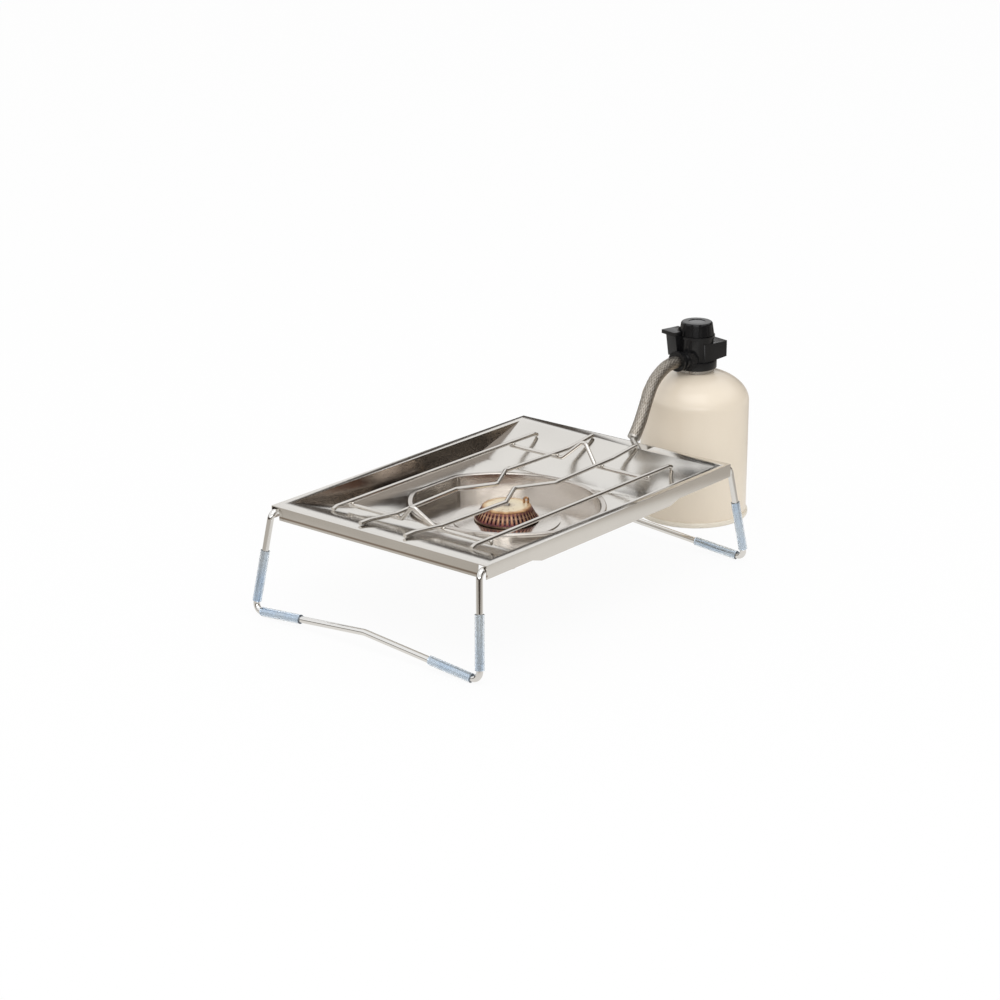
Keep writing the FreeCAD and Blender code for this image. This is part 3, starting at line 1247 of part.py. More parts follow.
def make_hose_collar():
    """The black collar at the valve's end of the hose, square to the hose."""
    end = hose_points[-1]
    along = (end - hose_points[-2]).normalize() * num(s.collar_length)
    collar = straight_tube(end, end + along, num(s.collar_radius), num(s.hose_bore) / 2)
    keep(feature("HoseCollar", collar), "hose_collar")


make_valve_body()
make_valve_insides()
make_knob()
make_regulator()
make_hose_collar()


# Canister

def keep_canister(thing, label):
    """Place a canister part on the canister's axis."""
    return keep(thing, label, canister_place_x, s.canister_y)


def make_canister():
    """Shell, base seam, valve cup, threaded stub and stem."""
    wall = num(s.canister_wall)
    radius = num(s.canister_radius)
    shoulder = num(s.canister_shoulder)
    dish = num(s.dish_height)
    outer_dome = half_ellipse(radius, num(s.dome_height), shoulder)
    inner_dome = half_ellipse(radius - wall, num(s.dome_height) - wall, shoulder)
    can = Part.makeCylinder(radius, shoulder).fuse(outer_dome)
    dish_radius = (radius ** 2 + dish ** 2) / (2 * dish)
    centre = Vector(0, 0, dish - dish_radius)
    floor_ball = Part.makeSphere(dish_radius, centre)
    ball = Part.makeSphere(dish_radius - wall, centre)
    hollow = Part.makeCylinder(radius - wall, shoulder).fuse(inner_dome).cut(floor_ball)
    hole = Part.makeCylinder(num(s.dome_hole_radius), 2 * num(s.dome_height), Vector(0, 0, shoulder))
    shell = can.cut(hollow).cut(ball).cut(hole)
    keep_canister(feature("CanisterShell", shell.removeSplitter()), "canister_shell")


def half_ellipse(radius, height, base):
    """A solid half of an ellipsoid that stands on a height."""
    ball = Part.makeSphere(radius, Vector(0, 0, 0), Vector(0, 0, 1), 0, 90, 360)
    matrix = FreeCAD.Matrix()
    matrix.scale(Vector(1, 1, height / radius))
    dome = ball.transformGeometry(matrix)
    dome.translate(Vector(0, 0, base))
    return dome


def make_canister_fittings():
    """Base seam, crimped cup, threaded stub and stem."""
    inner = s.canister_radius
    narrow = rim_radius - s.rim_round
    seam = [(inner, 0), (narrow, 0), (rim_radius, s.rim_round_height),
            (rim_radius, s.rim_height - s.rim_round_height), (narrow, s.rim_height), (inner, s.rim_height)]
    keep_canister(turned("BaseSeam", seam), "canister_base_seam")
    seat = s.canister_shoulder + s.dome_height - s.cup_seat_drop
    top = seat + s.cup_ring_height
    floor = top - s.cup_floor_depth
    under = floor - s.cup_gauge
    plug = s.dome_hole_radius - s.cup_play
    lip = s.cup_lip
    cup = [(s.stub_radius, under), (plug, under), (plug, seat), (s.cup_ring_radius, seat),
           (s.cup_ring_radius, top - lip), (s.cup_ring_radius - lip, top), (plug, top),
           (plug - lip, top - lip), (plug - lip, floor), (s.stub_radius, floor)]
    keep_canister(turned("ValveCup", cup), "canister_valve_cup")
    mouth = floor + s.stub_height
    keep_canister(turned("Stub", ring_outline(s.stub_bore, s.stub_radius, under, mouth)), "canister_stub")
    stem_top = s.insert_top - s.insert_roof - s.probe_length - s.stem_gap
    stem = [(0, under), (s.stub_bore, under), (s.stub_bore, floor), (s.stem_radius, floor),
            (s.stem_radius, stem_top), (0, stem_top)]
    keep_canister(turned("Stem", stem), "canister_stem")


make_canister()
make_canister_fittings()


def check_and_write():
    """Recompute, stop on any bad object, then write one file for each sub-part."""
    doc.recompute()
    for thing in doc.Objects:
        if "Invalid" in thing.State or "Error" in thing.State:
            raise ValueError(thing.Label + " was not built: " + str(thing.State))
    for thing in nodes:
        if thing.Shape.isNull() or not thing.Shape.isValid() or not thing.Shape.Solids:
            raise ValueError(thing.Label + " has no valid solid")
    os.makedirs("parts", exist_ok=True)
    for thing in nodes:
        thing.Shape.exportStep("parts/" + thing.Label + ".step")
    print(len(nodes), "sub-parts written")


check_and_write()
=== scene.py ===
import math

import bmesh
import bpy
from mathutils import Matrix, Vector


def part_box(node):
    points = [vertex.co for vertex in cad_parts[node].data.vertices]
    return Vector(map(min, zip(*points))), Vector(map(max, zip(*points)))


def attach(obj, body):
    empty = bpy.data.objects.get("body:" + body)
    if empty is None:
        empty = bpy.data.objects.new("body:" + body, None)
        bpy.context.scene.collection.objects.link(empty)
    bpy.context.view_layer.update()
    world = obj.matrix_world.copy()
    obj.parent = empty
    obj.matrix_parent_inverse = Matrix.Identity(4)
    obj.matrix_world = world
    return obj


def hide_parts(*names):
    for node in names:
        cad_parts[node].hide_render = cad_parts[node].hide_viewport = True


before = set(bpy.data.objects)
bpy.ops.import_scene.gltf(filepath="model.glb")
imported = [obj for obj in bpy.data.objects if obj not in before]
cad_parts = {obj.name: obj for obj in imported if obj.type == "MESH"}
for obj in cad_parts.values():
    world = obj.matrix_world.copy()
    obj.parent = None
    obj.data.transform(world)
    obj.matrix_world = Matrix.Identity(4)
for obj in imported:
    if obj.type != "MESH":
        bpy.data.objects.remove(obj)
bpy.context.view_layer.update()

# The camera, fitted to the photograph with the tray's edges as parallels
CAMERA_PLACE = (-1.81751, -1.42250, 0.84592)
CAMERA_LOOK = (0.7330, 0.6003, -0.3200)
CAMERA_LENS = 93.08
SENSOR_WIDTH = 36.0
camera_data = bpy.data.cameras.new("camera")
camera = bpy.data.objects.new("camera", camera_data)
bpy.context.scene.collection.objects.link(camera)
camera.location = CAMERA_PLACE
camera.rotation_mode = "QUATERNION"
camera.rotation_quaternion = Vector(CAMERA_LOOK).to_track_quat("-Z", "Y")
camera_data.lens = CAMERA_LENS
camera_data.sensor_width = SENSOR_WIDTH
bpy.context.scene.camera = camera
bpy.context.scene.view_settings.view_transform = "Standard"

# Places and sizes in metres, in the row frame
TRAY_X = -0.07095
TRAY_END_X = 0.10905
# Heights between which the basin turns browner
BASIN_SHADE_LOW = 0.0810
BASIN_SHADE_HIGH = 0.0870
# Softened edges
TRAY_ROUNDING = 0.0005
VALVE_ROUNDING = 0.0006

# The hose: its weave, and its route measured in X from the tray's far end
HOSE_DIAMETER = 0.0125
HOSE_STEP = 0.00034
HOSE_SIDES = 144
HOSE_STRANDS = 14
HOSE_RISE = 0.00042
HOSE_LAY = 2.2
HOSE_ROUTE = [
    (-0.0085, -0.0184, 0.1086),
    (0.0000, -0.0178, 0.1178),
    (0.0110, -0.0149, 0.1294),
    (0.0234, -0.0106, 0.1399),
    (0.0376, -0.0059, 0.1497),
    (0.0536, -0.0032, 0.1566),
    (0.0690, -0.0020, 0.1610),
    (0.0810, -0.0027, 0.1610),
]

# Slots in one row of the burner's cone
CAP_SLOTS = 40

# Welds of the grate, in X from the tray's middle
WELD_X = (-0.122, 0.108)
WELD_Y = (-0.0808, -0.0269, 0.0269, 0.0808)
WELD_Z = 0.09715
WELD_OFFSET = 0.0016
WELD_RADIUS = 0.0012

# The studio
FLOOR_SIZE = 40.0
FLOOR_DROP = 0.0002
FLOOR_GLOW = 0.93
MIRROR_NEAR = 0.27
MIRROR_FAR = 0.50
WORLD_LIGHT = 0.92
SCREEN_RADIUS = 4.2
SCREEN_HEIGHT = 3.4
SCREEN_TURN = math.radians(-39)
# Where the screens fade: the heights of the low and the tall one, and the tall one's edges
LOW_SCREEN = (1.15, 0.80)
TALL_SCREEN = (3.3, 2.0)
TALL_SCREEN_EDGE = (0.35, 0.70)


# Materials

class Nodes:
    """A node tree, and short ways to add nodes to it."""

    def __init__(self, tree):
        self.tree = tree

    def join(self, value, socket):
        """Link a socket, or set a plain value."""
        if isinstance(value, bpy.types.NodeSocket):
            self.tree.links.new(value, socket)
        else:
            socket.default_value = value

    def add(self, kind, inputs=None, **settings):
        node = self.tree.nodes.new("ShaderNode" + kind)
        for name, value in settings.items():
            setattr(node, name, value)
        for name, value in (inputs or {}).items():
            self.join(value, node.inputs[name])
        return node

    def span(self, value, low, high, start=0.3, end=0.7):
        return self.add("MapRange", {"Value": value, "From Min": start, "From Max": end, "To Min": low,
                                     "To Max": high}).outputs["Result"]

    def fade(self, value, start, end):
        return self.add("MapRange", {"Value": value, "From Min": start, "From Max": end},
                        interpolation_type="SMOOTHSTEP").outputs["Result"]

    def blend(self, share, first, second):
        return self.add("Mix", {0: share, 6: first, 7: second}, data_type="RGBA").outputs[2]

    def ramp(self, value, stops):
        node = self.add("ValToRGB", {"Fac": value})
        band = node.color_ramp
        while len(band.elements) < len(stops):
            band.elements.new(0.5)
        for element, (place, colour) in zip(band.elements, stops):
            element.position = place
            element.color = colour
        return node.outputs["Color"]

    def math(self, operation, first, second=0.0):
        return self.add("Math", {0: first, 1: second}, operation=operation).outputs[0]

    def vector(self, operation, first, second=(0.0, 0.0, 0.0)):
        return self.add("VectorMath", {0: first, 1: second}, operation=operation).outputs


class Look(Nodes):
    """A material with its shader, and short ways to dress it."""

    def __init__(self, name, **values):
        self.material = bpy.data.materials.new(name)
        self.material.use_nodes = True
        super().__init__(self.material.node_tree)
        self.shader = self.tree.nodes["Principled BSDF"]
        self.bump = None
        for socket, value in values.items():
            self.shader.inputs[socket.replace("_", " ")].default_value = value

    def place(self, scale=(1, 1, 1)):
        where = self.add("TexCoord")
        return self.add("Mapping", {"Vector": where.outputs["Object"], "Scale": scale}).outputs["Vector"]

    def spot(self):
        """X, Y and Z of the shaded point."""
        return self.add("SeparateXYZ", {"Vector": self.place()}).outputs

    def from_burner(self):
        """The level vector from the burner's axis to the shaded point."""
        where = self.add("NewGeometry").outputs["Position"]
        middle = self.vector("ADD", where, (-TRAY_X, 0.0, 0.0))[0]
        return self.vector("MULTIPLY", middle, (1.0, 1.0, 0.0))[0]

    def noise(self, scale, stretch=(1, 1, 1), detail=3.0, rough=0.55):
        return self.add("TexNoise", {"Vector": self.place(stretch), "Scale": scale, "Detail": detail,
                                     "Roughness": rough}).outputs["Fac"]

    def colour(self):
        """The colour that the shader has so far."""
        return self.shader.inputs["Base Color"].links[0].from_socket

    def drive(self, socket, value):
        self.tree.links.new(value, self.shader.inputs[socket])

    def emboss(self, height, strength, depth):
        values = {"Height": height, "Strength": strength, "Distance": depth}
        if self.bump is not None:
            values["Normal"] = self.bump
        self.bump = self.add("Bump", values).outputs["Normal"]
        self.drive("Normal", self.bump)


def rgb(red, green, blue):
    return (red, green, blue, 1.0)


def steel_look(name, colour, rough, grain=(8, 260, 260), depth=0.00003, tint=0.10):
    """Rolled, drawn or cast metal: fine grain, cloudy shine and faint marks."""
    look = Look(name, Metallic=1.0)
    cloud = look.noise(9.0, detail=4.0)
    fine = look.noise(6.0, stretch=grain, detail=2.0)
    marks = look.noise(70.0, detail=6.0, rough=0.7)
    dark = tuple(part * (1 - tint) for part in colour[:3]) + (1.0,)
    look.drive("Base Color", look.blend(look.span(cloud, 0.0, 1.0), dark, colour))
    shine = look.math("ADD", look.span(cloud, rough * 0.75, rough * 1.25),
                      look.span(marks, 0.0, rough * 0.3, 0.5, 0.75))
    look.drive("Roughness", shine)
    look.emboss(fine, 0.35, depth)
    return look


def plastic_look(name, colour, rough):
    """Moulded plastic: fine grain and a slightly uneven shine."""
    look = Look(name, IOR=1.5, Specular_IOR_Level=0.32)
    cloud = look.noise(30.0)
    fine = look.noise(900.0, detail=2.0)
    lighter = tuple(part * 1.35 + 0.001 for part in colour[:3]) + (1.0,)
    look.drive("Base Color", look.blend(look.span(cloud, 0.0, 1.0), colour, lighter))
    look.drive("Roughness", look.span(cloud, rough * 0.85, rough * 1.15))
    look.emboss(fine, 0.25, 0.00006)
    return look.material


def tray_look():
    """Rolled sheet with faint waves and a dark brown line painted along the near edge's fold, as painted
    shade in the crease.

    Its side walls are browner, to stand in for the dark reflections that the photograph shows there.
    """
    look = steel_look("tray_steel", rgb(0.74, 0.715, 0.675), 0.15, grain=(4, 90, 90), depth=0.000004)
    low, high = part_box("top_plate")
    fold = low[2] * 0.45 + high[2] * 0.55
    x, y, z = look.spot()
    # A dark brown line along the fold of the near edge: painted shade in the crease.
    off_fold = look.math("ABSOLUTE", look.math("SUBTRACT", z, fold))
    line = look.math("MULTIPLY", look.span(off_fold, 1.0, 0.0, 0.0003, 0.0014),
                     look.span(x, 1.0, 0.0, low[0] + 0.001, low[0] + 0.002))
    # Walls facing inward are painted browner: a painted dark reflection.
    normal = look.add("SeparateXYZ", {"Vector": look.add("NewGeometry").outputs["Normal"]}).outputs["Y"]
    inward = look.span(look.math("MULTIPLY", normal, y), 1.0, 0.0, -0.08, -0.04)
    wall = look.blend(inward, look.colour(), rgb(0.34, 0.30, 0.265))
    look.drive("Base Color", look.blend(line, wall, rgb(0.30, 0.24, 0.19)))
    look.emboss(look.noise(7.0, stretch=(1.0, 1.6, 1.0), detail=1.0), 0.12, 0.0010)
    return look.material


def basin_look():
    """Pressed sheet, browner toward its rolled rim, to stand in for a dark reflection there."""
    look = steel_look("basin_steel", rgb(0.72, 0.68, 0.635), 0.15, grain=(60, 60, 60), depth=0.000003)
    upper = look.span(look.spot()["Z"], 0.0, 1.0, BASIN_SHADE_LOW, BASIN_SHADE_HIGH)
    look.drive("Base Color", look.blend(upper, look.colour(), rgb(0.36, 0.32, 0.285)))
    look.emboss(look.noise(11.0, detail=1.0), 0.12, 0.0010)
    return look.material


def wire_look(name, colour, rough):
    """Drawn and plated wire, a little uneven along its length."""
    look = steel_look(name, colour, rough, grain=(30, 30, 30), depth=0.00001, tint=0.06)
    look.emboss(look.noise(14.0, detail=2.0), 0.2, 0.0002)
    return look.material


def sleeve_look():
    """Clear plastic tube with a faint blue cast."""
    look = Look("clear_sleeve", IOR=1.42, Transmission_Weight=0.92)
    cloud = look.noise(26.0, detail=2.0)
    look.drive("Base Color", look.blend(look.span(cloud, 0.0, 1.0), rgb(0.74, 0.85, 0.98),
                                        rgb(0.88, 0.94, 1.0)))
    look.drive("Roughness", look.span(cloud, 0.04, 0.12))
    look.emboss(look.noise(90.0, detail=2.0), 0.15, 0.0002)
    return look.material


def cream_look():
    """Satin enamel with a faint cloudiness, a soft sheen and orange-peel waves."""
    look = Look("cream_paint", IOR=1.5, Coat_Weight=0.5, Coat_Roughness=0.12)
    cloud = look.noise(5.0, detail=2.0)
    look.drive("Base Color", look.blend(look.span(cloud, 0.0, 1.0), rgb(0.76, 0.66, 0.535),
                                        rgb(0.80, 0.71, 0.58)))
    look.drive("Roughness", look.span(look.noise(40.0), 0.30, 0.40))
    look.emboss(look.noise(150.0, detail=1.0), 0.10, 0.0002)
    return look.material


def seam_look():
    """Enamel worn to bare metal in spots along the foot."""
    look = Look("seam_paint", IOR=1.5, Coat_Weight=0.4, Coat_Roughness=0.14)
    worn = look.span(look.noise(160.0, detail=4.0), 0.0, 1.0, 0.52, 0.62)
    low = look.span(look.spot()["Z"], 1.0, 0.0, 0.0, 0.0022)
    bare = look.math("MULTIPLY", worn, low)
    paint = look.blend(look.span(look.noise(8.0), 0.0, 1.0), rgb(0.74, 0.68, 0.57), rgb(0.80, 0.74, 0.63))
    look.drive("Base Color", look.blend(bare, paint, rgb(0.60, 0.59, 0.57)))
    look.drive("Metallic", bare)
    look.drive("Roughness", look.span(look.noise(50.0), 0.26, 0.38))
    return look.material


def heat(look, node, stops):
    """Colour by height over a node with a wavering edge, as on hot metal."""
    low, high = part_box(node)
    waver = look.span(look.noise(120.0, detail=3.0), -0.0009, 0.0009)
    level = look.span(look.math("ADD", look.spot()["Z"], waver), 0.0, 1.0, low[2], high[2])
    return look.ramp(level, stops)


def cone_look():
    """The slotted cone: brassy ribs, red-brown toward the foot and top, purple in the slots."""
    look = Look("tinted_cap", Metallic=0.85)
    colours = heat(look, "flame_cap", [
        (0.00, rgb(0.08, 0.040, 0.030)), (0.16, rgb(0.26, 0.10, 0.06)), (0.34, rgb(0.46, 0.25, 0.13)),
        (0.62, rgb(0.62, 0.42, 0.24)), (0.86, rgb(0.34, 0.16, 0.08)), (1.00, rgb(0.50, 0.30, 0.16))])
    flat = look.from_burner()
    away = look.vector("NORMALIZE", flat)[0]
    facing = look.vector("DOT_PRODUCT", away, look.add("NewGeometry").outputs["Normal"])["Value"]
    inside = look.span(facing, 1.0, 0.0, 0.15, 0.6)
    parts = look.add("SeparateXYZ", {"Vector": flat}).outputs
    turn = look.math("ARCTAN2", parts["Y"], parts["X"])
    rib = look.math("FRACT", look.math("MULTIPLY", turn, CAP_SLOTS / (2 * math.pi)))
    crest = look.span(look.math("ABSOLUTE", look.math("SUBTRACT", rib, 0.5)), 1.0, 0.0, 0.06, 0.20)
    patch = look.noise(55.0, detail=3.0)
    deep = look.blend(look.span(patch, 0.0, 1.0), rgb(0.20, 0.045, 0.045), rgb(0.10, 0.05, 0.09))
    worn = look.blend(crest, look.blend(0.75, colours, deep), colours)
    look.drive("Base Color", look.blend(inside, worn, deep))
    look.drive("Roughness", look.span(look.noise(90.0), 0.26, 0.44))
    look.emboss(look.noise(500.0, detail=3.0), 0.3, 0.0001)
    return look.material


def disc_look():
    """The top disc: dull in the middle, then cream, brown at its edge, with a few specks."""
    look = Look("cap_disc", Metallic=0.55)
    low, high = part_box("burner_cap_top")
    edge = (high[0] - low[0]) / 2
    radius = look.vector("LENGTH", look.from_burner())["Value"]
    waver = look.span(look.noise(140.0, detail=4.0), -0.0018, 0.0018)
    level = look.span(look.math("ADD", radius, waver), 0.0, 1.0, 0.003, edge)
    colours = look.ramp(level, [
        (0.00, rgb(0.60, 0.52, 0.40)), (0.30, rgb(0.84, 0.74, 0.56)), (0.72, rgb(0.86, 0.74, 0.53)),
        (0.90, rgb(0.62, 0.40, 0.20)), (1.00, rgb(0.36, 0.17, 0.08))])
    specks = look.span(look.noise(420.0, detail=5.0), 0.0, 0.7, 0.60, 0.70)
    look.drive("Base Color", look.blend(specks, colours, rgb(0.34, 0.20, 0.11)))
    look.drive("Roughness", look.span(look.noise(60.0), 0.30, 0.46))
    look.emboss(look.noise(260.0, detail=3.0), 0.25, 0.0002)
    return look.material


def clip_look():
    """Wire browned by heat."""
    return steel_look("tinted_wire", rgb(0.42, 0.24, 0.13), 0.30, grain=(50, 50, 50)).material


def casting_look():
    """Dull cast metal with a coarse skin."""
    look = steel_look("burner_casting", rgb(0.48, 0.40, 0.29), 0.42, grain=(40, 40, 40), depth=0.0001)
    look.emboss(look.noise(600.0, detail=3.0), 0.4, 0.0002)
    return look.material


def ring_look():
    """The base ring, patchy brown from heat."""
    look = Look("base_ring", Metallic=1.0)
    patch = look.noise(45.0, detail=4.0)
    look.drive("Base Color", look.ramp(patch, [
        (0.32, rgb(0.10, 0.060, 0.045)), (0.50, rgb(0.30, 0.19, 0.13)), (0.66, rgb(0.46, 0.36, 0.27))]))
    look.drive("Roughness", look.span(look.noise(110.0), 0.25, 0.42))
    look.emboss(look.noise(300.0, detail=3.0), 0.25, 0.0001)
    return look.material


def rubber_look():
    """Dull black rubber."""
    look = Look("seal_rubber", IOR=1.45)
    patch = look.noise(60.0)
    look.drive("Base Color", look.blend(look.span(patch, 0.0, 1.0), rgb(0.025, 0.025, 0.025),
                                        rgb(0.05, 0.05, 0.05)))
    look.drive("Roughness", look.span(patch, 0.7, 0.85))
    return look.material


def braid_look():
    """Braided steel wire: each strand a flat band of fine wires, with painted shade darkening the sunken
    gaps between the strands.
    """
    look = Look("braid", Metallic=1.0)
    where = look.add("TexCoord").outputs["UV"]
    across = look.add("Mapping", {"Vector": where}).outputs["Vector"]
    wires = look.add("TexWave", {"Vector": across, "Scale": 0.95, "Distortion": 0.0}, wave_type="BANDS",
                     bands_direction="X").outputs["Fac"]
    depth = look.add("Attribute", attribute_name="strand").outputs["Fac"]
    strand = look.blend(look.span(look.noise(500.0), 0.0, 1.0), rgb(0.27, 0.24, 0.20),
                        rgb(0.50, 0.46, 0.41))
    # Painted shade: near black where the wall sinks between the strands.
    gap_shade = look.span(depth, 1.0, 0.0, 0.05, 0.6)
    look.drive("Base Color", look.blend(gap_shade, strand, rgb(0.04, 0.032, 0.026)))
    look.drive("Roughness", look.span(wires, 0.28, 0.42, 0.0, 1.0))
    look.emboss(wires, 0.5, 0.00008)
    return look.material


tray_steel = tray_look()
basin_steel = basin_look()
plain_steel = steel_look("plain_steel", rgb(0.46, 0.44, 0.41), 0.28).material
chrome = wire_look("bright_wire", rgb(0.80, 0.79, 0.77), 0.07)
grate_chrome = wire_look("grate_wire", rgb(0.70, 0.67, 0.63), 0.11)
brass = steel_look("brass_fittings", rgb(0.70, 0.52, 0.25), 0.30, grain=(40, 40, 40)).material
black = plastic_look("black_plastic", rgb(0.006, 0.006, 0.0065), 0.22)
knob_black = plastic_look("knob_plastic", rgb(0.005, 0.005, 0.0055), 0.20)
grey = plastic_look("grey_plastic", rgb(0.055, 0.055, 0.058), 0.16)

NODE_LOOKS = {
    tray_steel: ["top_plate", "near_hinge_brackets", "far_hinge_brackets"],
    basin_steel: ["burner_basin", "pipe_strap", "burner_lock_ring"],
    plain_steel: ["cap_screw", "burner_gauze", "hose_end_cap", "hose_elbow", "pressure_spring",
                  "canister_valve_cup", "canister_stub"],
    chrome: ["near_leg_wire", "far_leg_wire"],
    grate_chrome: [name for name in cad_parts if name.startswith("grate_")],
    sleeve_look(): ["near_leg_post_sleeves", "near_leg_foot_sleeves", "far_leg_post_sleeves",
                    "far_leg_foot_sleeves"],
    brass: ["gas_jet", "gas_pipe", "pipe_nut_elbow", "pipe_nut_jet", "thread_insert", "probe_pin",
            "valve_spindle", "canister_stem"],
    black: ["valve_body", "valve_front_plug", "pressure_chamber_cap", "hose_collar"],
    knob_black: ["control_knob"],
    grey: ["knob_disc"],
    casting_look(): ["burner_body", "jet_holder", "air_shutter"],
    ring_look(): ["burner_ring"],
    cone_look(): ["flame_cap"],
    disc_look(): ["burner_cap_top"],
    clip_look(): ["cap_clip"],
    cream_look(): ["canister_shell"],
    seam_look(): ["canister_base_seam"],
    rubber_look(): ["seal_washer", "pressure_diaphragm"],
}
for material, names in NODE_LOOKS.items():
    for name in names:
        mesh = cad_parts[name].data
        mesh.materials.clear()
        mesh.materials.append(material)


# Pieces

def new_piece(name, mesh, body, material):
    piece = bpy.data.objects.new(name, mesh)
    bpy.context.scene.collection.objects.link(piece)
    mesh.materials.append(material)
    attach(piece, body)
    return piece


def softened(node, name, body, material, width):
    """A copy of a node with its sharp edges rounded, shown in the node's place."""
    mesh = bpy.data.meshes.new(name)
    work = bmesh.new()
    work.from_mesh(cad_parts[node].data)
    bmesh.ops.remove_doubles(work, verts=work.verts, dist=1e-6)
    bmesh.ops.dissolve_limit(work, angle_limit=math.radians(0.8), verts=work.verts, edges=work.edges)
    work.to_mesh(mesh)
    work.free()
    mesh.materials.clear()
    piece = new_piece(name, mesh, body, material)
    for face in mesh.polygons:
        face.use_smooth = True
    rounding = piece.modifiers.new("rounding", "BEVEL")
    rounding.width = width
    rounding.segments = 3
    rounding.limit_method = "ANGLE"
    rounding.angle_limit = math.radians(32)
    rounding.harden_normals = True
    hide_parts(node)


softened("top_plate", "pressed_tray", "stove", tray_steel, TRAY_ROUNDING)
softened("valve_body", "moulded_valve", "stove", black, VALVE_ROUNDING)


def hose_line():
    """The hose's own line: a smooth spline near its route and from end to end of it, read back as points."""
    curve = bpy.data.curves.new("hose_line", "CURVE")
    curve.dimensions = "3D"
    curve.resolution_u = 24
    spline = curve.splines.new("NURBS")
    spline.points.add(len(HOSE_ROUTE) - 1)
    for point, (x, y, z) in zip(spline.points, HOSE_ROUTE):
        point.co = (x + TRAY_END_X, y, z, 1.0)
    spline.order_u = 3
    spline.use_endpoint_u = True
    holder = bpy.data.objects.new("hose_line", curve)
    mesh = bpy.data.meshes.new_from_object(holder)
    points = [vertex.co.copy() for vertex in mesh.vertices]
    bpy.data.objects.remove(holder)
    bpy.data.curves.remove(curve)
    bpy.data.meshes.remove(mesh)
    return points


def evenly(points, step):
    """Points at even steps along a line, its two ends kept."""
    total = sum((b - a).length for a, b in zip(points, points[1:]))
    count = round(total / step)
    wanted = [total * k / count for k in range(1, count)]
    result = [points[0]]
    done = 0.0
    for a, b in zip(points, points[1:]):
        run = (b - a).length
        while wanted and wanted[0] <= done + run:
            result.append(a.lerp(b, (wanted.pop(0) - done) / run))
        done += run
    return result + [points[-1]], total


def braided_hose():
    """A tube whose wall rises and falls as two sets of flat strands pass over and under each other."""
    line, total = evenly(hose_line(), HOSE_STEP)
    outer = HOSE_DIAMETER / 2
    pitch = 2 * math.pi * outer * HOSE_LAY
    mesh = bpy.data.meshes.new("braided_hose")
    vertices = []
    depths = []
    side = Vector((0, 1, 0))
    for index, point in enumerate(line):
        ahead = line[min(index + 1, len(line) - 1)] - line[max(index - 1, 0)]
        ahead.normalize()
        side = (side - ahead * side.dot(ahead)).normalized()
        up = ahead.cross(side)
        length = total * index / (len(line) - 1)
        for k in range(HOSE_SIDES):
            angle = 2 * math.pi * k / HOSE_SIDES
            turn = length / pitch
            one = (k / HOSE_SIDES + turn) * HOSE_STRANDS
            two = (k / HOSE_SIDES - turn) * HOSE_STRANDS
            over = (math.floor(one) + math.floor(two)) % 2 == 0
            crown = math.sin(math.pi * ((two if over else one) % 1.0))
            bow = math.sin(math.pi * ((one if over else two) % 1.0))
            depth = math.sqrt(crown) * (0.55 + 0.45 * bow)
            depths.append(depth)
            radius = outer - HOSE_RISE * (1 - depth)
            vertices.append(point + (side * math.cos(angle) + up * math.sin(angle)) * radius)
    faces = []
    for index in range(len(line) - 1):
        for k in range(HOSE_SIDES):
            a = index * HOSE_SIDES + k
            b = index * HOSE_SIDES + (k + 1) % HOSE_SIDES
            faces.append((a, b, b + HOSE_SIDES, a + HOSE_SIDES))
    mesh.from_pydata(vertices, [], faces)
    strand = mesh.attributes.new("strand", "FLOAT", "POINT")
    strand.data.foreach_set("value", depths)
    layer = mesh.uv_layers.new(name="UVMap")
    for face in mesh.polygons:
        face.use_smooth = True
        ring, column = divmod(face.index, HOSE_SIDES)
        places = []
        for along, over in ((0, 0), (0, 1), (1, 1), (1, 0)):
            turn = total * (ring + along) / (len(line) - 1) / pitch
            part = (column + over) / HOSE_SIDES
            places.append(((part + turn) * HOSE_STRANDS, (part - turn) * HOSE_STRANDS))
        middle_one = sum(place[0] for place in places) / 4
        middle_two = sum(place[1] for place in places) / 4
        crossed = (math.floor(middle_one) + math.floor(middle_two)) % 2 == 0
        for corner, place in zip(face.loop_indices, places):
            layer.data[corner].uv = (place[1], place[0]) if crossed else place
    piece = new_piece("braided_hose", mesh, "stove", braid_look())
    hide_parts("gas_hose")


def grate_welds():
    """Small bright weld beads where the grate's wires cross."""
    work = bmesh.new()
    for x in WELD_X:
        for y in WELD_Y:
            for side in (-1, 1):
                made = bmesh.ops.create_icosphere(work, subdivisions=3, radius=WELD_RADIUS)
                for vertex in made["verts"]:
                    vertex.co.x *= 1.5
                    vertex.co.y *= 1.1
                    ripple = math.sin(4100 * vertex.co.x + 5300 * vertex.co.z)
                    vertex.co += vertex.co.normalized() * 0.00012 * ripple
                    vertex.co += Vector((x + TRAY_X, y + side * WELD_OFFSET, WELD_Z))
    mesh = bpy.data.meshes.new("grate_welds")
    work.to_mesh(mesh)
    work.free()
    for face in mesh.polygons:
        face.use_smooth = True
    new_piece("grate_welds", mesh, "grate", grate_chrome)


braided_hose()
grate_welds()


# Floor, background and light

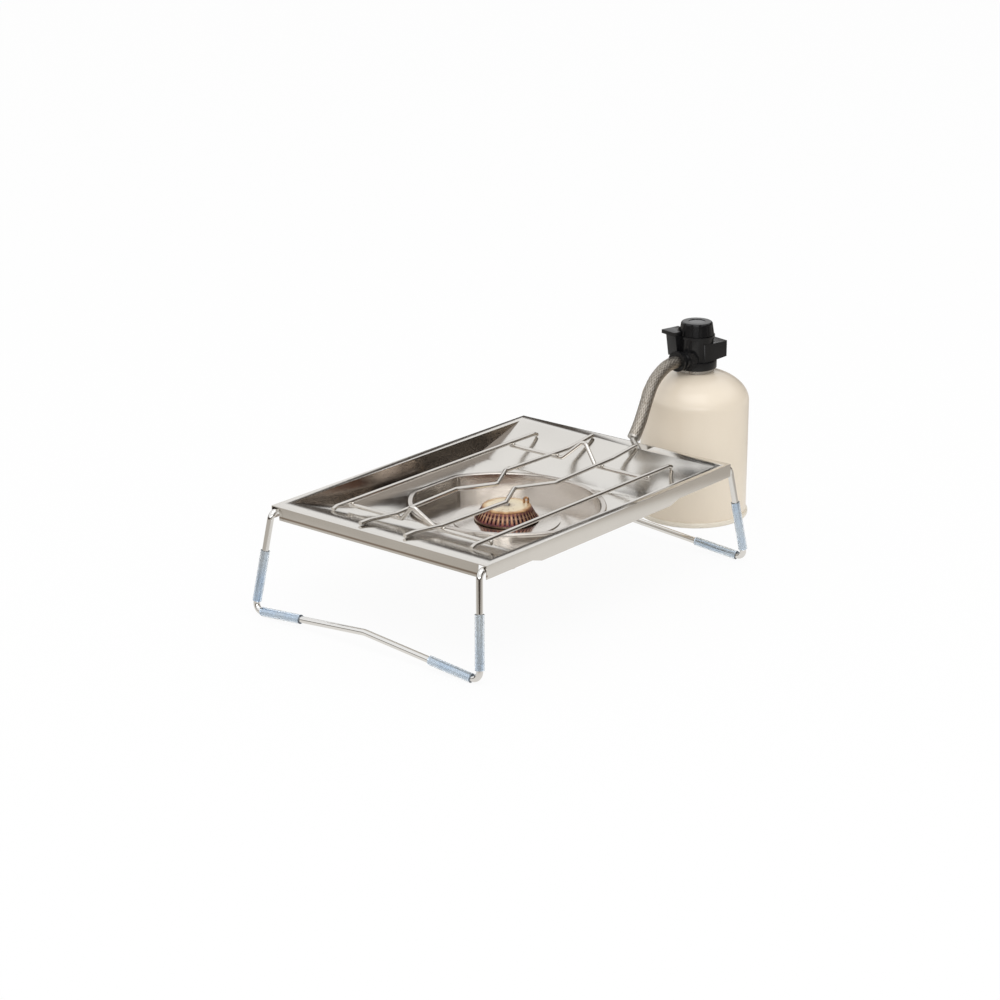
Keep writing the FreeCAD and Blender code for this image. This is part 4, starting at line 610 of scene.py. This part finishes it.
def make_floor():
    """A white table that keeps a soft shadow. Metal is shown a painted reflection of it, greyer and warmer
    away from the stove.
    """
    look = Look("floor", Base_Color=rgb(0.86, 0.86, 0.86), Roughness=0.9)
    path = look.add("LightPath").outputs
    length = look.vector("LENGTH", look.add("TexCoord").outputs["Object"])["Value"]
    # Glossy rays see a painted reflection: the floor painted darker and warmer away from the stove.
    away = look.fade(length, MIRROR_NEAR, MIRROR_FAR)
    painted_reflection = look.blend(away, rgb(0.86, 0.84, 0.81), rgb(0.50, 0.465, 0.42))
    colour = look.blend(path["Is Glossy Ray"], rgb(1.0, 1.0, 1.0), painted_reflection)
    glow = look.add("Emission", {"Color": colour, "Strength": 1.0})
    seen = look.math("MAXIMUM", path["Is Camera Ray"], path["Is Glossy Ray"])
    share = look.math("MULTIPLY", seen, FLOOR_GLOW)
    mix = look.add("MixShader", {0: share, 1: look.shader.outputs[0], 2: glow.outputs[0]})
    look.join(mix.outputs[0], look.tree.nodes["Material Output"].inputs[0])
    bpy.ops.mesh.primitive_plane_add(size=FLOOR_SIZE, location=(0, 0, -FLOOR_DROP))
    plane = bpy.context.object
    plane.name = "floor"
    plane.data.materials.append(look.material)


def make_world():
    """White all round to the camera, metal and glass, and a little less light on the object."""
    world = bpy.data.worlds.new("studio")
    bpy.context.scene.world = world
    world.use_nodes = True
    nodes = Nodes(world.node_tree)
    background = nodes.tree.nodes["Background"]
    background.inputs["Color"].default_value = rgb(1.0, 1.0, 1.0)
    path = nodes.add("LightPath").outputs
    seen = nodes.math("MAXIMUM", path["Is Camera Ray"], path["Is Glossy Ray"])
    seen = nodes.math("MAXIMUM", seen, path["Is Transmission Ray"])
    nodes.join(nodes.span(seen, WORLD_LIGHT, 1.0, 0.0, 1.0), background.inputs["Strength"])


def studio_screens():
    """Dark screens round the studio that only shiny surfaces show: low all round, and tall on one side."""
    look = Look("studio_screens")
    look.tree.nodes.remove(look.shader)
    where = look.add("TexCoord").outputs["Object"]
    x, y, z = look.add("SeparateXYZ", {"Vector": where}).outputs
    side = look.math("ADD", look.math("MULTIPLY", x, math.cos(SCREEN_TURN) / SCREEN_RADIUS),
                     look.math("MULTIPLY", y, math.sin(SCREEN_TURN) / SCREEN_RADIUS))
    patch = look.add("TexNoise", {"Vector": where, "Scale": 0.25}).outputs["Fac"]
    low = look.fade(look.math("ADD", z, look.math("MULTIPLY", patch, 0.2)), *LOW_SCREEN)
    tall = look.math("MULTIPLY", look.fade(side, *TALL_SCREEN_EDGE), look.fade(z, *TALL_SCREEN))
    share = look.math("MAXIMUM", low, tall)
    dark = look.ramp(patch, [(0.35, rgb(0.050, 0.039, 0.032)), (0.70, rgb(0.11, 0.095, 0.082))])
    glow = look.add("Emission", {"Color": look.blend(share, rgb(1.0, 1.0, 1.0), dark)})
    look.join(glow.outputs[0], look.tree.nodes["Material Output"].inputs[0])
    bpy.ops.mesh.primitive_cylinder_add(vertices=96, radius=SCREEN_RADIUS, depth=SCREEN_HEIGHT,
                                        end_fill_type="NOTHING", location=(0, 0, 0))
    screens = bpy.context.object
    for vertex in screens.data.vertices:
        vertex.co.z += SCREEN_HEIGHT / 2
    screens.name = "studio_screens"
    screens.data.materials.append(look.material)
    for way in ("visible_camera", "visible_diffuse", "visible_shadow", "visible_transmission"):
        setattr(screens, way, False)


def area_light(name, location, width, height, power):
    """A soft lamp that points at the origin."""
    light = bpy.data.lights.new(name, "AREA")
    light.shape = "RECTANGLE"
    light.size = width
    light.size_y = height
    light.energy = power
    lamp = bpy.data.objects.new(name, light)
    bpy.context.scene.collection.objects.link(lamp)
    lamp.location = location
    lamp.rotation_mode = "QUATERNION"
    lamp.rotation_quaternion = (-Vector(location)).to_track_quat("-Z", "Y")


make_floor()
make_world()
studio_screens()
area_light("overhead", (-0.9, -0.8, 2.6), 2.0, 2.0, 17)
area_light("front_strip", (-2.1, -1.7, 0.75), 2.6, 0.4, 8)
